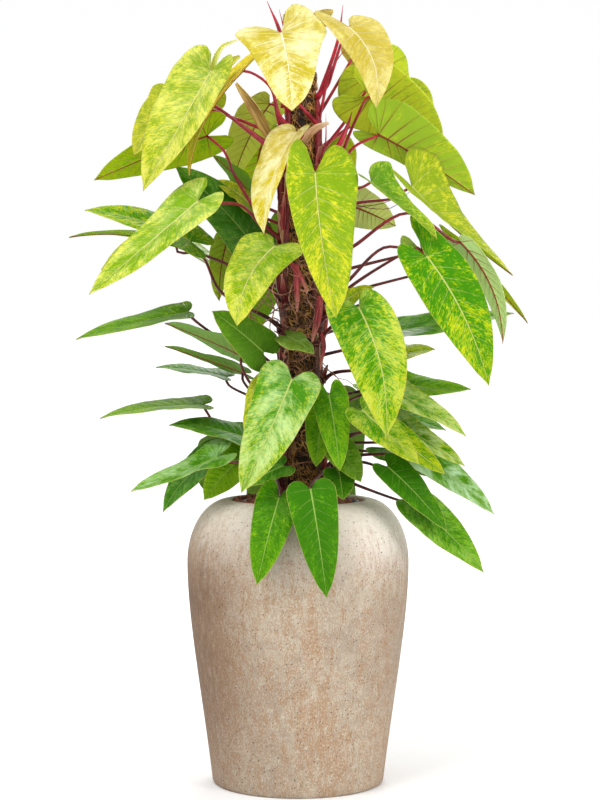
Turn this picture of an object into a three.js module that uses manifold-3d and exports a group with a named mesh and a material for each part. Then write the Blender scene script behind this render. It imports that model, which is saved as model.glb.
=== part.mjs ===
// Potted painted lady philodendron: six climbing vines on a coir pole, in a tall stone-look planter.
// Millimetres, +Z up. The origin is the centre of the planter's base, and the front faces -Y.
import * as THREE from 'three';
import { mergeVertices } from 'three/addons/utils/BufferGeometryUtils.js';
import Module from 'manifold-3d';

const wasm = await Module();
wasm.setup();

// Planter: heights and radii of its thrown shape
const planterHeight = 525;
const baseRadius = 154;
const footRadius = 159;
const footHeight = 6;
const widestRadius = 205;
const widestHeight = 409;
const rimRadius = 129;
const mouthRadius = 122;
const wallThickness = 14;
const floorThickness = 16;
const neckFoot = 505;
const planterSides = 32;

// Inner pot, soil and granules
const growerCentre = { x: 5, y: 4 };
const growerFootHeight = 292;
const growerFootRadius = 88;
const growerRimHeight = 521;
const growerRimRadius = 109;
const growerMouthRadius = 105;
const growerWall = 2.6;
const growerLip = 8;
const growerSides = 30;
const soilTop = 503;
const granuleTop = 517;
const granuleBump = 3.5;
const touchingGap = 0.3;

// Climbing pole
const poleCentre = { x: 6, y: 0 };
const poleRadius = 28;
const poleTop = 1312;
const poleFoot = 300;
const stakeRadius = 12;
const poleSides = 14;

// Vines: each climbs at its own angle round the pole, measured from the front towards +X
const vineRadius = 5.6;
const vineClimbRadius = poleRadius + vineRadius + 1.6;
const vineRootRadius = 47;
const vineFoot = 425;
const vines = {
  a: { angle: -48, top: 1262 },
  b: { angle: 52, top: 1268 },
  c: { angle: -98, top: 1225 },
  d: { angle: 103, top: 1240 },
  e: { angle: -152, top: 1215 },
  f: { angle: 158, top: 1230 },
};

// Leaves
const bladeThickness = 1.3;
const waveHeight = 3;
const narrowBlade = 118;
const smallBlade = 72;
const petioleFootRadius = 4.4;
const petioleTipRadius = 1.9;
const petioleSides = 4;
const petioleGap = 0.75;

// The eye that the leaf places are seen from: each place is a column, a row and
// how many millimetres it stands forward of the pole
const eye = new THREE.Vector3(3.7, -3930, 878);
const eyeTilt = THREE.MathUtils.degToRad(2.476);
const eyeFocal = 2128;
const pictureCentre = { column: 300, row: 400 };

function seen(column, row, forward) {
  const across = column - pictureCentre.column;
  const up = pictureCentre.row - row;
  const ray = new THREE.Vector3(
    across,
    eyeFocal * Math.cos(eyeTilt) + up * Math.sin(eyeTilt),
    up * Math.cos(eyeTilt) - eyeFocal * Math.sin(eyeTilt),
  );
  const reach = (-forward - eye.y) / ray.y;
  return ray.multiplyScalar(reach).add(eye);
}

function seededRandom(seed) {
  let state = seed;
  return () => {
    state = (state * 1664525 + 1013904223) % 4294967296;
    return state / 4294967296;
  };
}

// Materials
const paint = (color, roughness) => new THREE.MeshStandardMaterial({ color, roughness, metalness: 0 });
const stone = paint(0xcdbfac, 0.8);
const clay = paint(0x9a5842, 0.9);
const blackPlastic = paint(0x1b1b1d, 0.5);
const soilBrown = paint(0x33241a, 0.95);
const coir = paint(0x6d4322, 0.95);
const stakeWood = paint(0xa98658, 0.7);
const stemMaroon = paint(0x4a1620, 0.45);
const leafTones = [0xe8e07a, 0xa9cc2c, 0x74b324, 0x3f8a26].map((tone) => paint(tone, 0.4));

// Solids
function closedGeometry(positions, triangles) {
  const geometry = new THREE.BufferGeometry();
  geometry.setAttribute('position', new THREE.Float32BufferAttribute(positions, 3));
  geometry.setIndex(triangles);
  return geometry;
}

function solid(geometry) {
  const bare = geometry.clone();
  bare.deleteAttribute('normal');
  bare.deleteAttribute('uv');
  const merged = mergeVertices(bare, 1e-4);
  return new wasm.Manifold(new wasm.Mesh({
    numProp: 3,
    vertProperties: merged.attributes.position.array,
    triVerts: new Uint32Array(merged.index.array),
  }));
}

function geometryOf(manifold) {
  const mesh = manifold.getMesh();
  return closedGeometry(Array.from(mesh.vertProperties), Array.from(mesh.triVerts));
}

const joined = (pieces) => wasm.Manifold.union(pieces);

const plant = new THREE.Group();

function addNode(name, geometry, material) {
  const mesh = new THREE.Mesh(geometry, material);
  mesh.name = name;
  plant.add(mesh);
}

// A solid turned round an upright axis from a list of [radius, height] points
function turned(profile, sides, centre = { x: 0, y: 0 }) {
  const points = profile.map(([radius, height]) => new THREE.Vector2(radius, height));
  const geometry = new THREE.LatheGeometry(points, sides);
  geometry.rotateX(Math.PI / 2);
  geometry.translate(centre.x, centre.y, 0);
  return geometry;
}

// A tube with a radius of its own at each point of its path
function taperedTube(path, radii, sides) {
  const positions = [];
  const triangles = [];
  let side = new THREE.Vector3(1, 0, 0);
  path.forEach((point, index) => {
    const before = path[Math.max(index - 1, 0)];
    const after = path[Math.min(index + 1, path.length - 1)];
    const along = after.clone().sub(before).normalize();
    if (index === 0 && Math.abs(along.x) > 0.8) {
      side = new THREE.Vector3(0, 1, 0);
    }
    side = side.clone().addScaledVector(along, -side.dot(along)).normalize();
    const other = along.clone().cross(side);
    for (let corner = 0; corner < sides; corner += 1) {
      const turn = (corner / sides) * Math.PI * 2;
      const spot = point.clone()
        .addScaledVector(side, Math.cos(turn) * radii[index])
        .addScaledVector(other, Math.sin(turn) * radii[index]);
      positions.push(spot.x, spot.y, spot.z);
    }
  });
  for (let ring = 0; ring < path.length - 1; ring += 1) {
    for (let corner = 0; corner < sides; corner += 1) {
      const here = ring * sides + corner;
      const next = ring * sides + ((corner + 1) % sides);
      triangles.push(here, next, next + sides, here, next + sides, here + sides);
    }
  }
  const last = (path.length - 1) * sides;
  for (let corner = 1; corner < sides - 1; corner += 1) {
    triangles.push(0, corner + 1, corner);
    triangles.push(last, last + corner, last + corner + 1);
  }
  return closedGeometry(positions, triangles);
}

// The planter's outer wall: a slow swell from the foot to the widest girth, then a quarter ellipse
const swell = new THREE.CubicBezierCurve(
  new THREE.Vector2(footRadius, footHeight),
  new THREE.Vector2(175.5, 150),
  new THREE.Vector2(widestRadius, 300),
  new THREE.Vector2(widestRadius, widestHeight),
);

function outerWall(steps, shoulderSteps) {
  const wall = swell.getPoints(steps).map((point) => [point.x, point.y]);
  for (let step = 1; step <= shoulderSteps; step += 1) {
    const turn = (step / shoulderSteps) * Math.PI / 2;
    wall.push([
      rimRadius + (widestRadius - rimRadius) * Math.cos(turn),
      widestHeight + (planterHeight - widestHeight) * Math.sin(turn),
    ]);
  }
  return wall;
}

function innerRadius(height) {
  const wall = outerWall(40, 24);
  const above = wall.findIndex(([, wallHeight]) => wallHeight >= height);
  const [lowRadius, lowHeight] = wall[Math.max(above - 1, 0)];
  const [highRadius, highHeight] = wall[above];
  const share = (height - lowHeight) / Math.max(highHeight - lowHeight, 1e-6);
  const radius = lowRadius + (highRadius - lowRadius) * Math.min(Math.max(share, 0), 1);
  return Math.max(radius - wallThickness, mouthRadius);
}

const cavityHeights = [floorThickness, 160, 300, 405, 470];

function makePlanter() {
  const inner = cavityHeights.map((height) => [innerRadius(height), height]).reverse();
  const profile = [
    [0, 0],
    [baseRadius, 0],
    ...outerWall(4, 6),
    [mouthRadius + 2, planterHeight],
    [mouthRadius, planterHeight - 3],
    [mouthRadius, neckFoot],
    ...inner,
    [0, floorThickness],
  ];
  addNode('planter', turned(profile, planterSides), stone);
}

const growerProfile = (grown) => [
  [growerFootRadius + grown, growerFootHeight - grown],
  [growerMouthRadius + grown, growerRimHeight - growerLip],
];

// Loose granules: a low random relief on the top of a fill
function roughTop(geometry, level, bump, seed) {
  const random = seededRandom(seed);
  const spots = geometry.attributes.position;
  const lifts = new Map();
  for (let index = 0; index < spots.count; index += 1) {
    if (Math.abs(spots.getZ(index) - level) < 0.01) {
      const key = `${Math.round(spots.getX(index) * 10)} ${Math.round(spots.getY(index) * 10)}`;
      if (!lifts.has(key)) {
        lifts.set(key, (random() - 0.5) * 2 * bump);
      }
      spots.setZ(index, level + lifts.get(key));
    }
  }
  return geometry;
}

function makeGranuleFill() {
  const outer = cavityHeights.map((height) => [innerRadius(height) - touchingGap, height]);
  outer[0][1] += touchingGap;
  const body = turned([
    [0, floorThickness + touchingGap],
    ...outer,
    [mouthRadius - touchingGap, neckFoot],
    [mouthRadius - touchingGap, granuleTop],
    [growerRimRadius + 8, granuleTop],
    [growerRimRadius + 3, granuleTop],
    [0, granuleTop],
  ], planterSides);
  roughTop(body, granuleTop, granuleBump, 11);
  const [foot, mouth] = growerProfile(touchingGap);
  const room = turned([
    [0, foot[1]],
    foot,
    mouth,
    [growerRimRadius + touchingGap, growerRimHeight - growerLip + touchingGap],
    [growerRimRadius + touchingGap, planterHeight],
    [0, planterHeight],
  ], growerSides, growerCentre);
  addNode('granule_fill', geometryOf(solid(body).subtract(solid(room))), clay);
}

function makeGrowerPot() {
  const profile = [
    [0, growerFootHeight],
    [growerFootRadius, growerFootHeight],
    [growerMouthRadius, growerRimHeight - growerLip],
    [growerRimRadius, growerRimHeight - growerLip + 2 * touchingGap],
    [growerRimRadius, growerRimHeight],
    [growerMouthRadius - growerWall, growerRimHeight],
    [growerFootRadius - growerWall, growerFootHeight + growerWall],
    [0, growerFootHeight + growerWall],
  ];
  addNode('grower_pot', turned(profile, growerSides, growerCentre), blackPlastic);
}

// Vines
function vinePoint(vine, height) {
  const rise = THREE.MathUtils.smoothstep(height, 528, 660);
  const radius = vineRootRadius + (vineClimbRadius - vineRootRadius) * rise;
  const wander = height < 660 ? 0 : 7 * Math.sin((height - 660) / 95 + vine.angle);
  const angle = THREE.MathUtils.degToRad(vine.angle + wander);
  return new THREE.Vector3(
    poleCentre.x + radius * Math.sin(angle),
    poleCentre.y - radius * Math.cos(angle),
    height,
  );
}

function vineStem(vine) {
  const heights = [vineFoot, 528, 575, 620, 660];
  for (let height = 750; height < vine.top - 60; height += 100) {
    heights.push(height);
  }
  heights.push(vine.top - 22, vine.top);
  const path = heights.map((height) => vinePoint(vine, height));
  const radii = heights.map(() => vineRadius);
  radii[radii.length - 1] = 0.8;
  return taperedTube(path, radii, 5);
}

const rod = (radius, bottom, sides, centre) => solid(turned([
  [0, bottom], [radius, bottom], [radius, planterHeight], [0, planterHeight],
], sides, centre));

// Plain upright holes that the pole and the vines stand in
function stemHoles(poleBottom, vineBottom) {
  const vineSides = 7;
  const vineHole = (vineRadius + touchingGap) / Math.cos(Math.PI / vineSides);
  return joined([
    rod(poleRadius + 1, poleBottom, 16, poleCentre),
    ...Object.values(vines).map((vine) => rod(vineHole, vineBottom, vineSides, vinePoint(vine, vineFoot))),
  ]);
}

function growerInside(height) {
  const rise = (height - growerFootHeight) / (growerRimHeight - growerFootHeight);
  return growerFootRadius + (growerMouthRadius - growerFootRadius) * rise - growerWall - 2 * touchingGap;
}

function makePottingSoil() {
  const floor = growerFootHeight + growerWall + 2 * touchingGap;
  const body = turned([
    [0, floor], [growerInside(floor), floor], [growerInside(soilTop), soilTop], [0, soilTop],
  ], growerSides, growerCentre);
  const cut = solid(body).subtract(stemHoles(poleFoot, vineFoot - touchingGap));
  addNode('potting_soil', geometryOf(cut), soilBrown);
}

function makeTopGranules() {
  const radius = growerInside(soilTop);
  const body = turned([
    [0, soilTop + touchingGap],
    [radius, soilTop + touchingGap],
    [radius, granuleTop],
    [0.84 * radius, granuleTop],
    [0.63 * radius, granuleTop],
    [0, granuleTop],
  ], 20, growerCentre);
  roughTop(body, granuleTop, granuleBump, 23);
  addNode('top_granules', geometryOf(solid(body).subtract(stemHoles(poleFoot, vineFoot))), clay);
}

// Coir pole: fibre wrapped round a stake, with the turns of the wrap as shallow waists
function makePole() {
  const wrapRise = 170;
  const waist = 2.5;
  const profile = [[stakeRadius + touchingGap, poleFoot], [poleRadius, poleFoot], [poleRadius, 540]];
  for (let height = 540; height < poleTop - wrapRise; height += wrapRise) {
    profile.push([poleRadius - waist, height + wrapRise / 2], [poleRadius, height + wrapRise]);
  }
  profile.push([poleRadius - 1, poleTop - 8], [poleRadius - 6, poleTop], [stakeRadius + touchingGap, poleTop]);
  profile.push(profile[0]);
  addNode('coir_sleeve', turned(profile, poleSides, poleCentre), coir);
  const stake = [[0, poleFoot], [stakeRadius, poleFoot], [stakeRadius, poleTop + 6], [0, poleTop + 6]];
  addNode('pole_stake', turned(stake, poleSides, poleCentre), stakeWood);
}

// Leaf blade: rays run from the midrib to the margin, and the first four leave from the notch.
// A margin point is [share of the length from the notch, share of the half width].
const margin = [
  [-0.15, 0.25], [-0.2, 0.52], [-0.14, 0.82], [0.02, 1], [0.22, 0.94], [0.44, 0.82], [0.66, 0.63], [0.86, 0.34],
];
const rayStart = [0, 0, 0, 0, 0.09, 0.27, 0.5, 0.76];
const everyRay = margin.map((point, index) => index);
const fewRays = [0, 1, 3, 5, 6, 7];
const fewestRays = [0, 2, 4, 6];
const innerAndEdge = [0.52, 1];
const edgeOnly = [1];

function leafFrame(leaf) {
  const notch = seen(...leaf.notch);
  const tip = seen(...leaf.tip);
  const along = tip.clone().sub(notch);
  const length = along.length();
  along.normalize();
  const up = new THREE.Vector3(...leaf.looks);
  up.addScaledVector(along, -up.dot(along)).normalize();
  const across = along.clone().cross(up);
  return { notch, along, up, across, length };
}

// A point of the blade: along and across are shares of the length and the half width.
// A lean makes the half of positive across wider and the other half narrower; uneven does the same
// to the length of its lobe.
function bladePoint(leaf, frame, along, across) {
  const {
    lobes = 1, fold = 0.18, crown = 0.1, arch = 0.06, sweep = 0, twist = 0, belly = 0, lean = 0,
    uneven = 0,
  } = leaf;
  const side = Math.sign(across);
  const share = along < 0 ? along * lobes * (1 + uneven * side) : along;
  const bend = share < 0 ? 4 * share * (1 - 0.4 * share) : 4 * share * (1 - share);
  const half = (leaf.width / 2) * (1 + belly * Math.max(0, 4 * share * (1 - share)))
    * (1 + lean * side);
  const lift = half * (fold * Math.abs(across) - crown * across * across)
    + waveHeight * across * across * Math.sin(7.5 * share + (across > 0 ? 1.9 : 0));
  const turn = THREE.MathUtils.degToRad(twist) * Math.max(share, 0);
  const sideways = half * across * Math.cos(turn) - lift * Math.sin(turn);
  const upwards = half * across * Math.sin(turn) + lift * Math.cos(turn);
  return frame.notch.clone()
    .addScaledVector(frame.along, frame.length * share)
    .addScaledVector(frame.up, frame.length * arch * bend + upwards)
    .addScaledVector(frame.across, frame.length * sweep * bend + sideways);
}

// Rays of points from the midrib to the margin, joined ray to ray down to the tip
function bladeGeometry(leaf, rays, steps) {
  const frame = leafFrame(leaf);
  const points = [bladePoint(leaf, frame, 0, 0), bladePoint(leaf, frame, 1, 0)];
  const notchIndex = 0;
  const tipIndex = 1;
  const add = (along, across) => points.push(bladePoint(leaf, frame, along, across)) - 1;
  const starts = rays.map((ray) => (rayStart[ray] === 0 ? notchIndex : add(rayStart[ray], 0)));
  const faces = [];
  const halves = [1, -1].map((hand) => {
    const chains = rays.map((ray, index) => {
      const [marginAlong, marginAcross] = margin[ray];
      const outer = steps.map((step) => add(
        rayStart[ray] + (marginAlong - rayStart[ray]) * step ** 1.1,
        hand * marginAcross * step,
      ));
      return [starts[index], ...outer];
    });
    chains.push(chains[0].map(() => tipIndex));
    chains.slice(1).forEach((chain, index) => {
      const before = chains[index];
      for (let step = 0; step < steps.length; step += 1) {
        [[before[step], chain[step + 1], before[step + 1]], [before[step], chain[step], chain[step + 1]]]
          .filter((face) => new Set(face).size === 3)
          .forEach((face) => faces.push(hand > 0 ? face : face.reverse()));
      }
    });
    return chains;
  });
  const [left, right] = halves.map((chains) => [
    ...chains[0].slice(1), ...chains.slice(1, -1).map((chain) => chain[chain.length - 1]),
  ]);
  const rim = [notchIndex, ...left, tipIndex, ...right.reverse()];
  return thickened(points, faces, rim, bladeThickness);
}

// Two faces split alike, half a thickness to each side, closed by a rim
function thickened(points, faces, rim, thickness) {
  const normals = points.map(() => new THREE.Vector3());
  faces.forEach(([first, second, third]) => {
    const one = points[second].clone().sub(points[first]);
    const two = points[third].clone().sub(points[first]);
    const normal = one.cross(two);
    [first, second, third].forEach((index) => normals[index].add(normal));
  });
  const positions = [];
  [0.5, -0.5].forEach((offset) => {
    points.forEach((point, index) => {
      const spot = point.clone().addScaledVector(normals[index].clone().normalize(), offset * thickness);
      positions.push(spot.x, spot.y, spot.z);
    });
  });
  const below = points.length;
  const triangles = [];
  faces.forEach(([first, second, third]) => {
    triangles.push(first, second, third);
    triangles.push(below + first, below + third, below + second);
  });
  const inFaceOrder = faces.some((face) => follows(face, rim[0], rim[1]));
  rim.forEach((here, index) => {
    const next = rim[(index + 1) % rim.length];
    const [from, to] = inFaceOrder ? [here, next] : [next, here];
    triangles.push(from, below + from, below + to, from, below + to, to);
  });
  return closedGeometry(positions, triangles);
}

function follows(face, from, to) {
  return face.some((corner, index) => corner === from && face[(index + 1) % 3] === to);
}

// Petiole: from the vine, out and up, through its seen bends, to the back of the notch
function petioleGeometry(leaf, sunk) {
  const frame = leafFrame(leaf);
  const vine = vines[leaf.vine];
  const height = seen(pictureCentre.column, leaf.bud, 0).z;
  const foot = vinePoint(vine, height);
  const outward = new THREE.Vector3(foot.x - poleCentre.x, foot.y - poleCentre.y, 0).normalize();
  const towards = frame.notch.clone().sub(foot).setZ(0).normalize();
  const first = foot.clone().addScaledVector(outward, 13).addScaledVector(towards, 12);
  first.z += leaf.rise ?? 20;
  const depth = sunk ? 0 : bladeThickness / 2 + petioleGap;
  const end = frame.notch.clone().addScaledVector(frame.up, -depth);
  const before = end.clone().addScaledVector(frame.up, -13).addScaledVector(frame.along, -5);
  const stops = [foot, first, ...(leaf.bends ?? []).map((bend) => seen(...bend)), before, end];
  const curve = new THREE.CatmullRomCurve3(stops, false, 'centripetal');
  const steps = 3 + (leaf.bends ?? []).length;
  const path = curve.getSpacedPoints(steps);
  if (!sunk) {
    path.splice(path.length - 1, 0, before.clone().lerp(end, 0.35));
  }
  const radii = path.map((point, index) => {
    const share = index / (path.length - 1);
    return petioleFootRadius + (petioleTipRadius - petioleFootRadius) * Math.sqrt(share);
  });
  return taperedTube(path, radii, petioleSides);
}

// Leaves, from the crown down. Each gives its vine, the row where it leaves the vine, where its notch
// and tip are seen, where its upper side looks, and its width.
const leaves = [
  // Crown
  { name: 'crown_cream', vine: 'a', bud: 112, notch: [281, 33, 180], tip: [292, 111, 262],
    looks: [0.06, -0.87, 0.48], width: 164, tone: 0, fold: 0.1, lobes: 1.45, sweep: -0.02,
    belly: -0.24, uneven: -0.6 },
  { name: 'crown_gold', vine: 'b', bud: 98, notch: [349, 27, 105], tip: [376, 108, 150],
    looks: [0.1, -0.8, 0.55], width: 88, tone: 0, fold: 0.25, lobes: 1.05, sweep: -0.12, twist: -35,
    lean: -0.08, uneven: 0.4,
    bends: [[332, 72, 60]] },
  { name: 'cream_white', vine: 'a', bud: 176, notch: [297, 132, 120], tip: [264, 234, 150],
    looks: [-0.8, -0.6, 0.2], width: 104, tone: 0, lobes: 0.4, sweep: 0.06, lean: 0.35 },
  // Left side, upper
  { name: 'lime_upper_left', vine: 'c', bud: 160, notch: [211, 71, 110], tip: [143, 191, 140],
    looks: [-0.45, -0.7, 0.45], width: 124, tone: 1, fold: 0.3, lobes: 0.85, sweep: -0.06, belly: 0.2,
    lean: 0.12,
    bends: [[232, 118, 25], [206, 96, 44]] },
  { name: 'yellow_edge_left', vine: 'a', bud: 128, notch: [243, 71, 104], tip: [189, 176, 138],
    looks: [-0.85, -0.3, 0.3], width: 86, tone: 0, fold: 0.35, sweep: 0.14, bends: [[271, 88, 60]] },
  { name: 'olive_behind_left', vine: 'e', bud: 150, notch: [172, 98, 68], tip: [134, 155, 62],
    looks: [-0.3, -0.7, 0.6], width: 100, tone: 1, lobes: 0.6 },
  { name: 'green_far_left', vine: 'c', bud: 240, notch: [207, 136, 24], tip: [94, 180, 36],
    looks: [-0.15, 0.7, 0.7], width: 112, tone: 2, lobes: 1, arch: 0.02,
    bends: [[235, 176, 30], [224, 151, 30]] },
  { name: 'lime_back_left', vine: 'e', bud: 190, notch: [270, 104, -120], tip: [232, 184, -200],
    looks: [-0.7, 0.65, 0.4], width: 130, tone: 1, lobes: 0.8 },
  { name: 'small_green_left', vine: 'e', bud: 225, notch: [248, 192, -70], tip: [212, 155, -90],
    looks: [0.3, 0.6, 0.7], width: 56, tone: 3 },
  { name: 'small_olive_left', vine: 'e', bud: 235, notch: [250, 204, -30], tip: [214, 180, -45],
    looks: [0.2, -0.5, 0.8], width: 62, tone: 1 },
  // Left side, middle
  { name: 'lime_front_left', vine: 'c', bud: 255, notch: [198, 201, 160], tip: [89, 294, 205],
    looks: [-0.3, -0.75, 0.6], width: 100, tone: 1, lobes: 0.8, arch: 0,
    bends: [[262, 228, 70], [240, 205, 110]] },
  { name: 'dark_behind_left', vine: 'e', bud: 290, notch: [252, 243, -40], tip: [175, 166, -20],
    looks: [-0.35, -0.55, 0.75], width: 105, tone: 3 },
  { name: 'green_long_left', vine: 'c', bud: 300, notch: [190, 241, 72], tip: [85, 210, 50],
    looks: [-0.15, -0.4, 0.9], width: 112, tone: 2, bends: [[229, 265, 55]] },
  { name: 'thin_far_left', vine: 'c', bud: 330, notch: [176, 245, -40], tip: [69, 237, -30],
    looks: [0, 0.1, 1], width: 92, tone: 2, bends: [[221, 292, -10], [200, 254, -35]] },
  { name: 'curled_left', vine: 'e', bud: 300, notch: [200, 254, -128], tip: [101, 270, -115],
    looks: [-0.4, -0.4, 0.85], width: 92, tone: 1, arch: 0.24 },
  { name: 'yellow_hanging_left', vine: 'e', bud: 280, notch: [228, 238, -70], tip: [219, 301, -90],
    looks: [-0.6, 0.6, 0.2], width: 70, tone: 1 },
  { name: 'painted_centre_left', vine: 'a', bud: 300, notch: [275, 246, 150], tip: [237, 326, 200],
    looks: [-0.1, -0.75, 0.65], width: 117, tone: 1, lobes: 0.55, sweep: 0.09, belly: -0.05 },
  // Left side, lower
  { name: 'green_reaching_left', vine: 'c', bud: 356, notch: [188, 312, 60], tip: [76, 339, 70],
    looks: [-0.1, -0.35, 0.95], width: 96, tone: 3, lobes: 0.25, arch: 0.015, bends: [[227, 341, 55]] },
  { name: 'mid_left_high', vine: 'c', bud: 400, notch: [242, 356, 70], tip: [165, 323, 15],
    looks: [0.1, 0.45, 0.9], width: 96, tone: 3, lobes: 0.6, arch: 0.015, bends: [[252, 385, 55]] },
  { name: 'mid_left', vine: 'c', bud: 420, notch: [243, 373, -35], tip: [165, 346, -62],
    looks: [0.1, 0.3, 0.9], width: 84, tone: 3, arch: 0.01, lobes: 0.6 },
  { name: 'mid_left_low', vine: 'e', bud: 425, notch: [226, 377, -110], tip: [156, 367, -125],
    looks: [0, -0.2, 1], width: 84, tone: 3, arch: 0.03, lobes: 0.5 },
  { name: 'round_left', vine: 'a', bud: 380, notch: [263, 352, 115], tip: [212, 311, 140],
    looks: [-0.3, -0.75, 0.55], width: 80, tone: 3 },
  { name: 'flat_left', vine: 'c', bud: 455, notch: [203, 405, 15], tip: [100, 418, 25],
    looks: [0, -0.22, 1], width: 100, tone: 3, arch: 0.04, lobes: 0.5, bends: [[222, 431, 5]] },
  { name: 'dark_low_left', vine: 'c', bud: 482, notch: [252, 440, 48], tip: [169, 425, 40],
    looks: [-0.1, -0.34, 0.9], width: 98, tone: 3 },
  { name: 'drooping_low_left', vine: 'a', bud: 470, notch: [218, 457, 95], tip: [131, 491, 105],
    looks: [-0.1, -0.45, 0.85], width: 92, tone: 3, fold: 0.3, arch: -0.01, belly: -0.3 },
  { name: 'lowest_left', vine: 'e', bud: 478, notch: [222, 452, -35], tip: [163, 512, -20],
    looks: [-0.5, -0.6, 0.6], width: 95, tone: 3, sweep: 0.06 },
  { name: 'low_left_inner', vine: 'a', bud: 488, notch: [243, 456, 34], tip: [204, 500, 50],
    looks: [-0.2, -0.8, 0.5], width: 84, tone: 3 },
  // Front
  { name: 'painted_front_large', vine: 'b', bud: 235, notch: [315, 173, 225], tip: [336, 318, 270],
    looks: [0.5, -0.9, 0.4], width: 144, tone: 1, fold: 0.2, lobes: 1.15, sweep: 0.06, belly: -0.05,
    lean: -0.12, uneven: 0.1 },
  { name: 'painted_front_right', vine: 'b', bud: 345, notch: [358.5, 307, 215], tip: [386.5, 437, 250],
    looks: [-0.1, -0.85, 0.4], width: 108, tone: 2, lobes: 0.65, sweep: -0.07, belly: 0.15, lean: 0.06 },
  { name: 'painted_front_low', vine: 'a', bud: 430, notch: [292, 379, 165], tip: [241, 493, 215],
    looks: [-0.15, -0.85, 0.45], width: 117, tone: 1, lobes: 0.55, sweep: -0.03 },
  { name: 'lime_behind_low', vine: 'a', bud: 445, notch: [268, 385, 105], tip: [250, 448, 130],
    looks: [-0.5, -0.8, 0.2], width: 72, tone: 1 },
  { name: 'folded_centre', vine: 'a', bud: 375, notch: [287, 336, 130], tip: [314, 354, 150],
    looks: [0.1, -0.5, 0.85], width: 62, tone: 3, fold: 0.15, crown: 0.3 },
  { name: 'green_inner_right', vine: 'b', bud: 425, notch: [329, 395, 150], tip: [340, 471, 175],
    looks: [0.1, -0.9, 0.3], width: 66, tone: 3, rise: 38 },
  { name: 'dark_inner_right', vine: 'a', bud: 405, notch: [322, 416, 112], tip: [316, 467, 125],
    looks: [-0.1, -0.95, 0.1], width: 58, tone: 3 },
  { name: 'dark_low_right', vine: 'b', bud: 488, notch: [338, 448, 100], tip: [361, 482, 118],
    looks: [0.2, -0.85, 0.4], width: 62, tone: 3 },
  { name: 'hanging_front_left', vine: 'a', bud: 485, notch: [279, 498, 195], tip: [257, 585, 235],
    looks: [-0.1, -0.9, 0.35], width: 80, tone: 3, fold: 0.1 },
  { name: 'hanging_front', vine: 'b', bud: 480, notch: [310.5, 489, 215], tip: [326.5, 598, 255],
    looks: [0.1, -0.9, 0.35], width: 88, tone: 3, fold: 0.1, lobes: 0.45 },
  { name: 'low_front', vine: 'a', bud: 480, notch: [283, 466, 110], tip: [246, 487, 130],
    looks: [-0.1, -0.6, 0.7], width: 60, tone: 3 },
  { name: 'round_low_right', vine: 'd', bud: 493, notch: [339, 472, 95], tip: [343, 500, 125],
    looks: [0.1, -0.8, 0.5], width: 60, tone: 3 },
  // Right side, upper
  { name: 'lime_top_right', vine: 'f', bud: 165, notch: [373, 75, -60], tip: [404, 158, -165],
    looks: [-0.35, 0.95, 0.3], width: 150, tone: 1, lobes: 1.2, bends: [[352, 112, -50]] },
  { name: 'lime_top_right_near', vine: 'd', bud: 185, notch: [370, 97, 10], tip: [444, 144, 0],
    looks: [0.1, 0.8, 0.5], width: 150, tone: 1, lobes: 1.7, bends: [[352, 128, 25]] },
  { name: 'lime_large_right', vine: 'd', bud: 190, notch: [378, 135, 50], tip: [475, 195, 40],
    looks: [0.1, 0.75, 0.65], width: 118, tone: 1, arch: 0.04, lean: 0.4, bends: [[354, 147, 45]] },
  { name: 'narrow_right', vine: 'b', bud: 215, notch: [371, 182, 170], tip: [437, 238, 200],
    looks: [0.3, -0.6, 0.75], width: 90, tone: 2, fold: 0.7, lobes: 0.7, arch: 0.02, belly: -0.55 },
  { name: 'lime_far_right', vine: 'd', bud: 225, notch: [412, 187, 96], tip: [513, 275, 100],
    looks: [0.3, -0.6, 0.7], width: 116, tone: 1, fold: 0.45, arch: -0.03, sweep: 0, twist: 42,
    belly: -0.3, lean: -0.45,
    bends: [[357, 203, 50], [390, 199, 45]] },
  { name: 'pale_hanging_right', vine: 'd', bud: 270, notch: [460, 242, 160], tip: [503, 344, 130],
    looks: [0.6, 0.75, 0.3], width: 46, tone: 2, lobes: 0.3, sweep: 0.08, belly: 0.2,
    bends: [[354, 246, 60], [407, 213, 108]] },
  { name: 'thin_far_right', vine: 'f', bud: 290, notch: [452, 242, -70], tip: [528, 323, -90],
    looks: [0.4, 0.35, 0.85], width: 52, tone: 1, arch: 0.02 },
  { name: 'pale_behind_right', vine: 'f', bud: 260, notch: [352, 206, -70], tip: [396, 226, -90],
    looks: [0.3, 0.85, 0.2], width: 84, tone: 1 },
  // Right side, middle
  { name: 'painted_large_right', vine: 'd', bud: 305, notch: [427, 256.5, 190], tip: [489, 386, 225],
    looks: [0.05, -0.85, 0.45], width: 100, tone: 2, lobes: 1.2, sweep: -0.035, belly: 0.22,
    lean: 0.02, uneven: -0.35,
    bends: [[348, 281, 70], [386, 247, 135]] },
  { name: 'leaf_behind_large', vine: 'd', bud: 318, notch: [421, 250, 95], tip: [462, 345, 120],
    looks: [0.2, 0.75, 0.4], width: 72, tone: 2, bends: [[350, 287, 60]] },
  { name: 'lime_sliver_right', vine: 'b', bud: 330, notch: [344, 302, 160], tip: [374, 287, 165],
    looks: [0.1, -0.5, 0.85], width: 52, tone: 1 },
  { name: 'long_right', vine: 'f', bud: 370, notch: [394, 331, -30], tip: [514, 313, -60],
    looks: [0, -0.4, 0.9], width: 92, tone: 3, arch: 0 },
  { name: 'short_right_high', vine: 'd', bud: 385, notch: [376, 360, 100], tip: [435, 349, 120],
    looks: [0, -0.45, 0.9], width: 86, tone: 2, arch: 0.02 },
  // Right side, lower
  { name: 'fan_right_top', vine: 'd', bud: 410, notch: [378, 380, 60], tip: [471, 389, 70],
    looks: [0.15, -0.5, 0.9], width: 92, tone: 3, arch: -0.03 },
  { name: 'fan_right_second', vine: 'b', bud: 420, notch: [376, 386, 120], tip: [466, 436, 140],
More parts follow.
